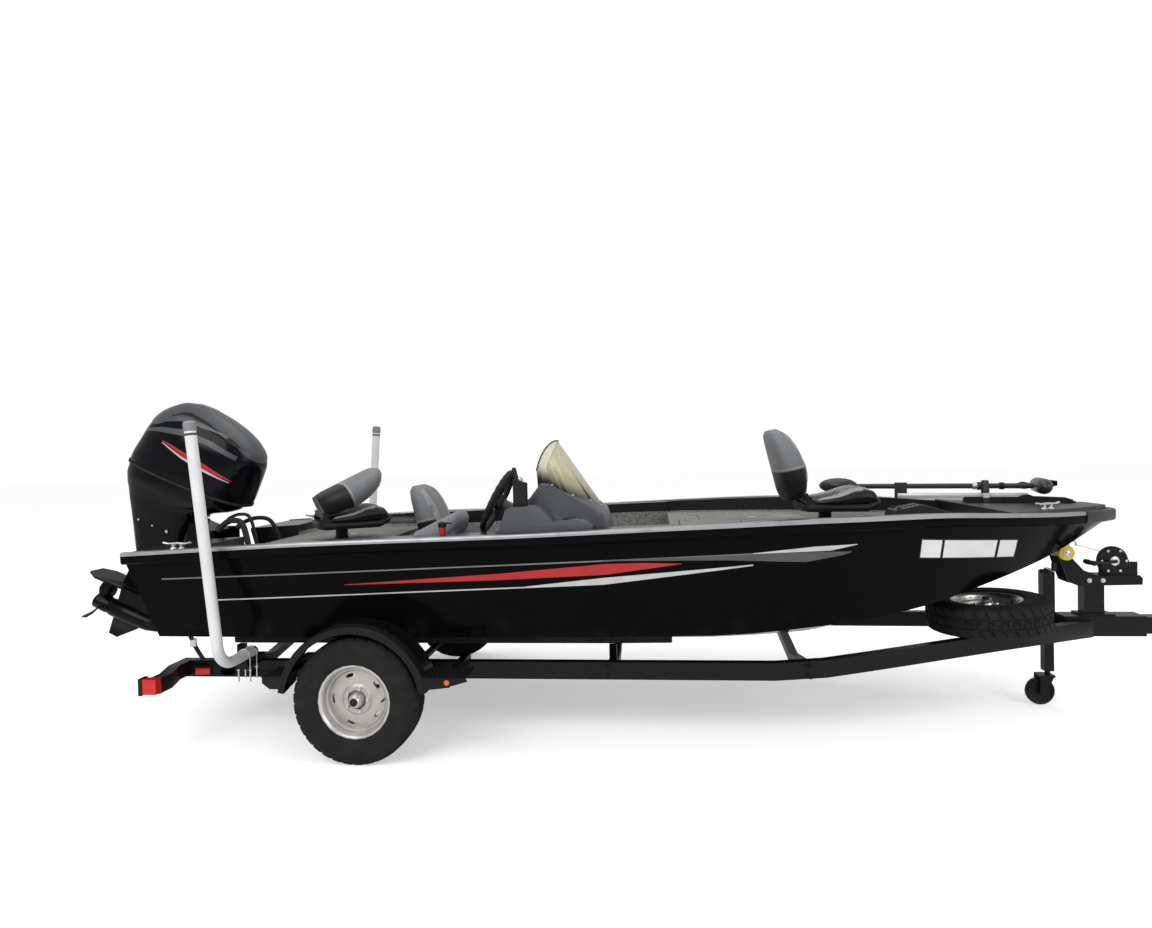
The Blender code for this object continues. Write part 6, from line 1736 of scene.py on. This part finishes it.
@dataclass
class Studio:
    """Camera where the photographer stood, pale floor and soft light."""

    eye: tuple = (0.061, -4.405, 1.475)
    yaw: float = 0.100
    pitch: float = 0.019
    roll: float = -0.023
    sensor: float = 36
    focal: float = 750 / 1152 * 36
    lamps: tuple = (("key", (-3.5, -6.5, 6.0), (0, 0, 0.8), 5.0, 330.0),
                    ("fill", (5.5, -5.0, 4.0), (0.5, 0, 0.8), 4.0, 130.0),
                    ("top", (0.0, 1.0, 7.0), (0, 0, 0.8), 6.0, 180.0))

    def build(self) -> None:
        """Camera first, then floor, lamps and world."""
        self.build_camera()
        self.build_floor()
        for name, spot, aim, size, power in self.lamps:
            lamp = bpy.data.lights.new(name, "AREA")
            lamp.energy, lamp.size = power, size
            rig = bpy.data.objects.new(name, lamp)
            bpy.context.scene.collection.objects.link(rig)
            rig.location = spot
            rig.rotation_euler = (Vector(aim) - Vector(spot)).to_track_quat("-Z", "Y").to_euler()
        self.build_world()

    def build_camera(self) -> None:
        """Turn the camera by yaw and pitch, then roll it about its own axis."""
        data = bpy.data.cameras.new("camera")
        data.lens, data.sensor_width = self.focal, self.sensor
        camera = bpy.data.objects.new("camera", data)
        bpy.context.scene.collection.objects.link(camera)
        level = math.cos(self.pitch)
        ahead = Vector((-math.sin(self.yaw) * level, math.cos(self.yaw) * level, -math.sin(self.pitch)))
        right = Vector((math.cos(self.yaw), math.sin(self.yaw), 0))
        up = right.cross(ahead)
        turned_right = math.cos(self.roll) * right + math.sin(self.roll) * up
        turned_up = -math.sin(self.roll) * right + math.cos(self.roll) * up
        turn = Matrix((turned_right, turned_up, -ahead)).transposed().to_4x4()
        camera.matrix_world = Matrix.Translation(self.eye) @ turn
        bpy.context.scene.camera = camera
        LOG.info("camera")

    def build_floor(self) -> None:
        """A wide pale floor that stays out of the object."""
        half = 40.0
        corners = np.array([(-half, -half, 0), (half, -half, 0), (half, half, 0), (-half, half, 0)])
        mesh = bpy.data.meshes.new("floor")
        mesh.from_pydata(corners.tolist(), [], [[0, 1, 2, 3]])
        floor = bpy.data.objects.new("floor", mesh)
        bpy.context.scene.collection.objects.link(floor)
        bench = Bench("pale_floor")
        seen = Wire(bench, bench.node("ShaderNodeLightPath").outputs["Is Camera Ray"])
        mesh.materials.append(bench.coat(Base_Color=(0.85, 0.85, 0.85), Roughness=0.9, Specular_IOR_Level=0.0,
                                         Emission_Color=(1.0, 1.0, 1.0), Emission_Strength=seen * 0.45))

    def build_world(self) -> None:
        """White to the camera, and a little dimmer as a light."""
        world = bpy.data.worlds.new("studio")
        bpy.context.scene.world = world
        world.use_nodes = True
        tree = world.node_tree
        ray = tree.nodes.new("ShaderNodeLightPath")
        strength = tree.nodes.new("ShaderNodeMapRange")
        strength.inputs["To Min"].default_value, strength.inputs["To Max"].default_value = 0.62, 1.0
        tree.links.new(ray.outputs["Is Camera Ray"], strength.inputs["Value"])
        tree.links.new(strength.outputs[0], tree.nodes["Background"].inputs[1])
        tree.nodes["Background"].inputs[0].default_value = (1, 1, 1, 1)
        bpy.context.scene.view_settings.view_transform = "Standard"


def main() -> None:
    """Build every sub-assembly around the frame."""
    logging.basicConfig(level=logging.INFO, format="%(name)s: %(message)s")
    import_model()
    Studio().build()
    Hull().build()
    Deck().build()
    for tyre, rim, axis, body in (("tyre_port", "rim_port", (0, 1, 0), "wheel_port"),
                                  ("tyre_starboard", "rim_starboard", (0, -1, 0), "wheel_starboard"),
                                  ("spare_tyre", "spare_rim", (-0.064, 0, 0.998), "hull")):
        low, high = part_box(tyre)
        RoadWheel(tuple((low + high) / 2), axis, body, tyre, rim).build()
    Outboard().build()
    build_seats()
    Helm().build()
    BowMotor().build()
    Trailer().build()
    build_cleats()


if __name__ == "__main__":
    main()
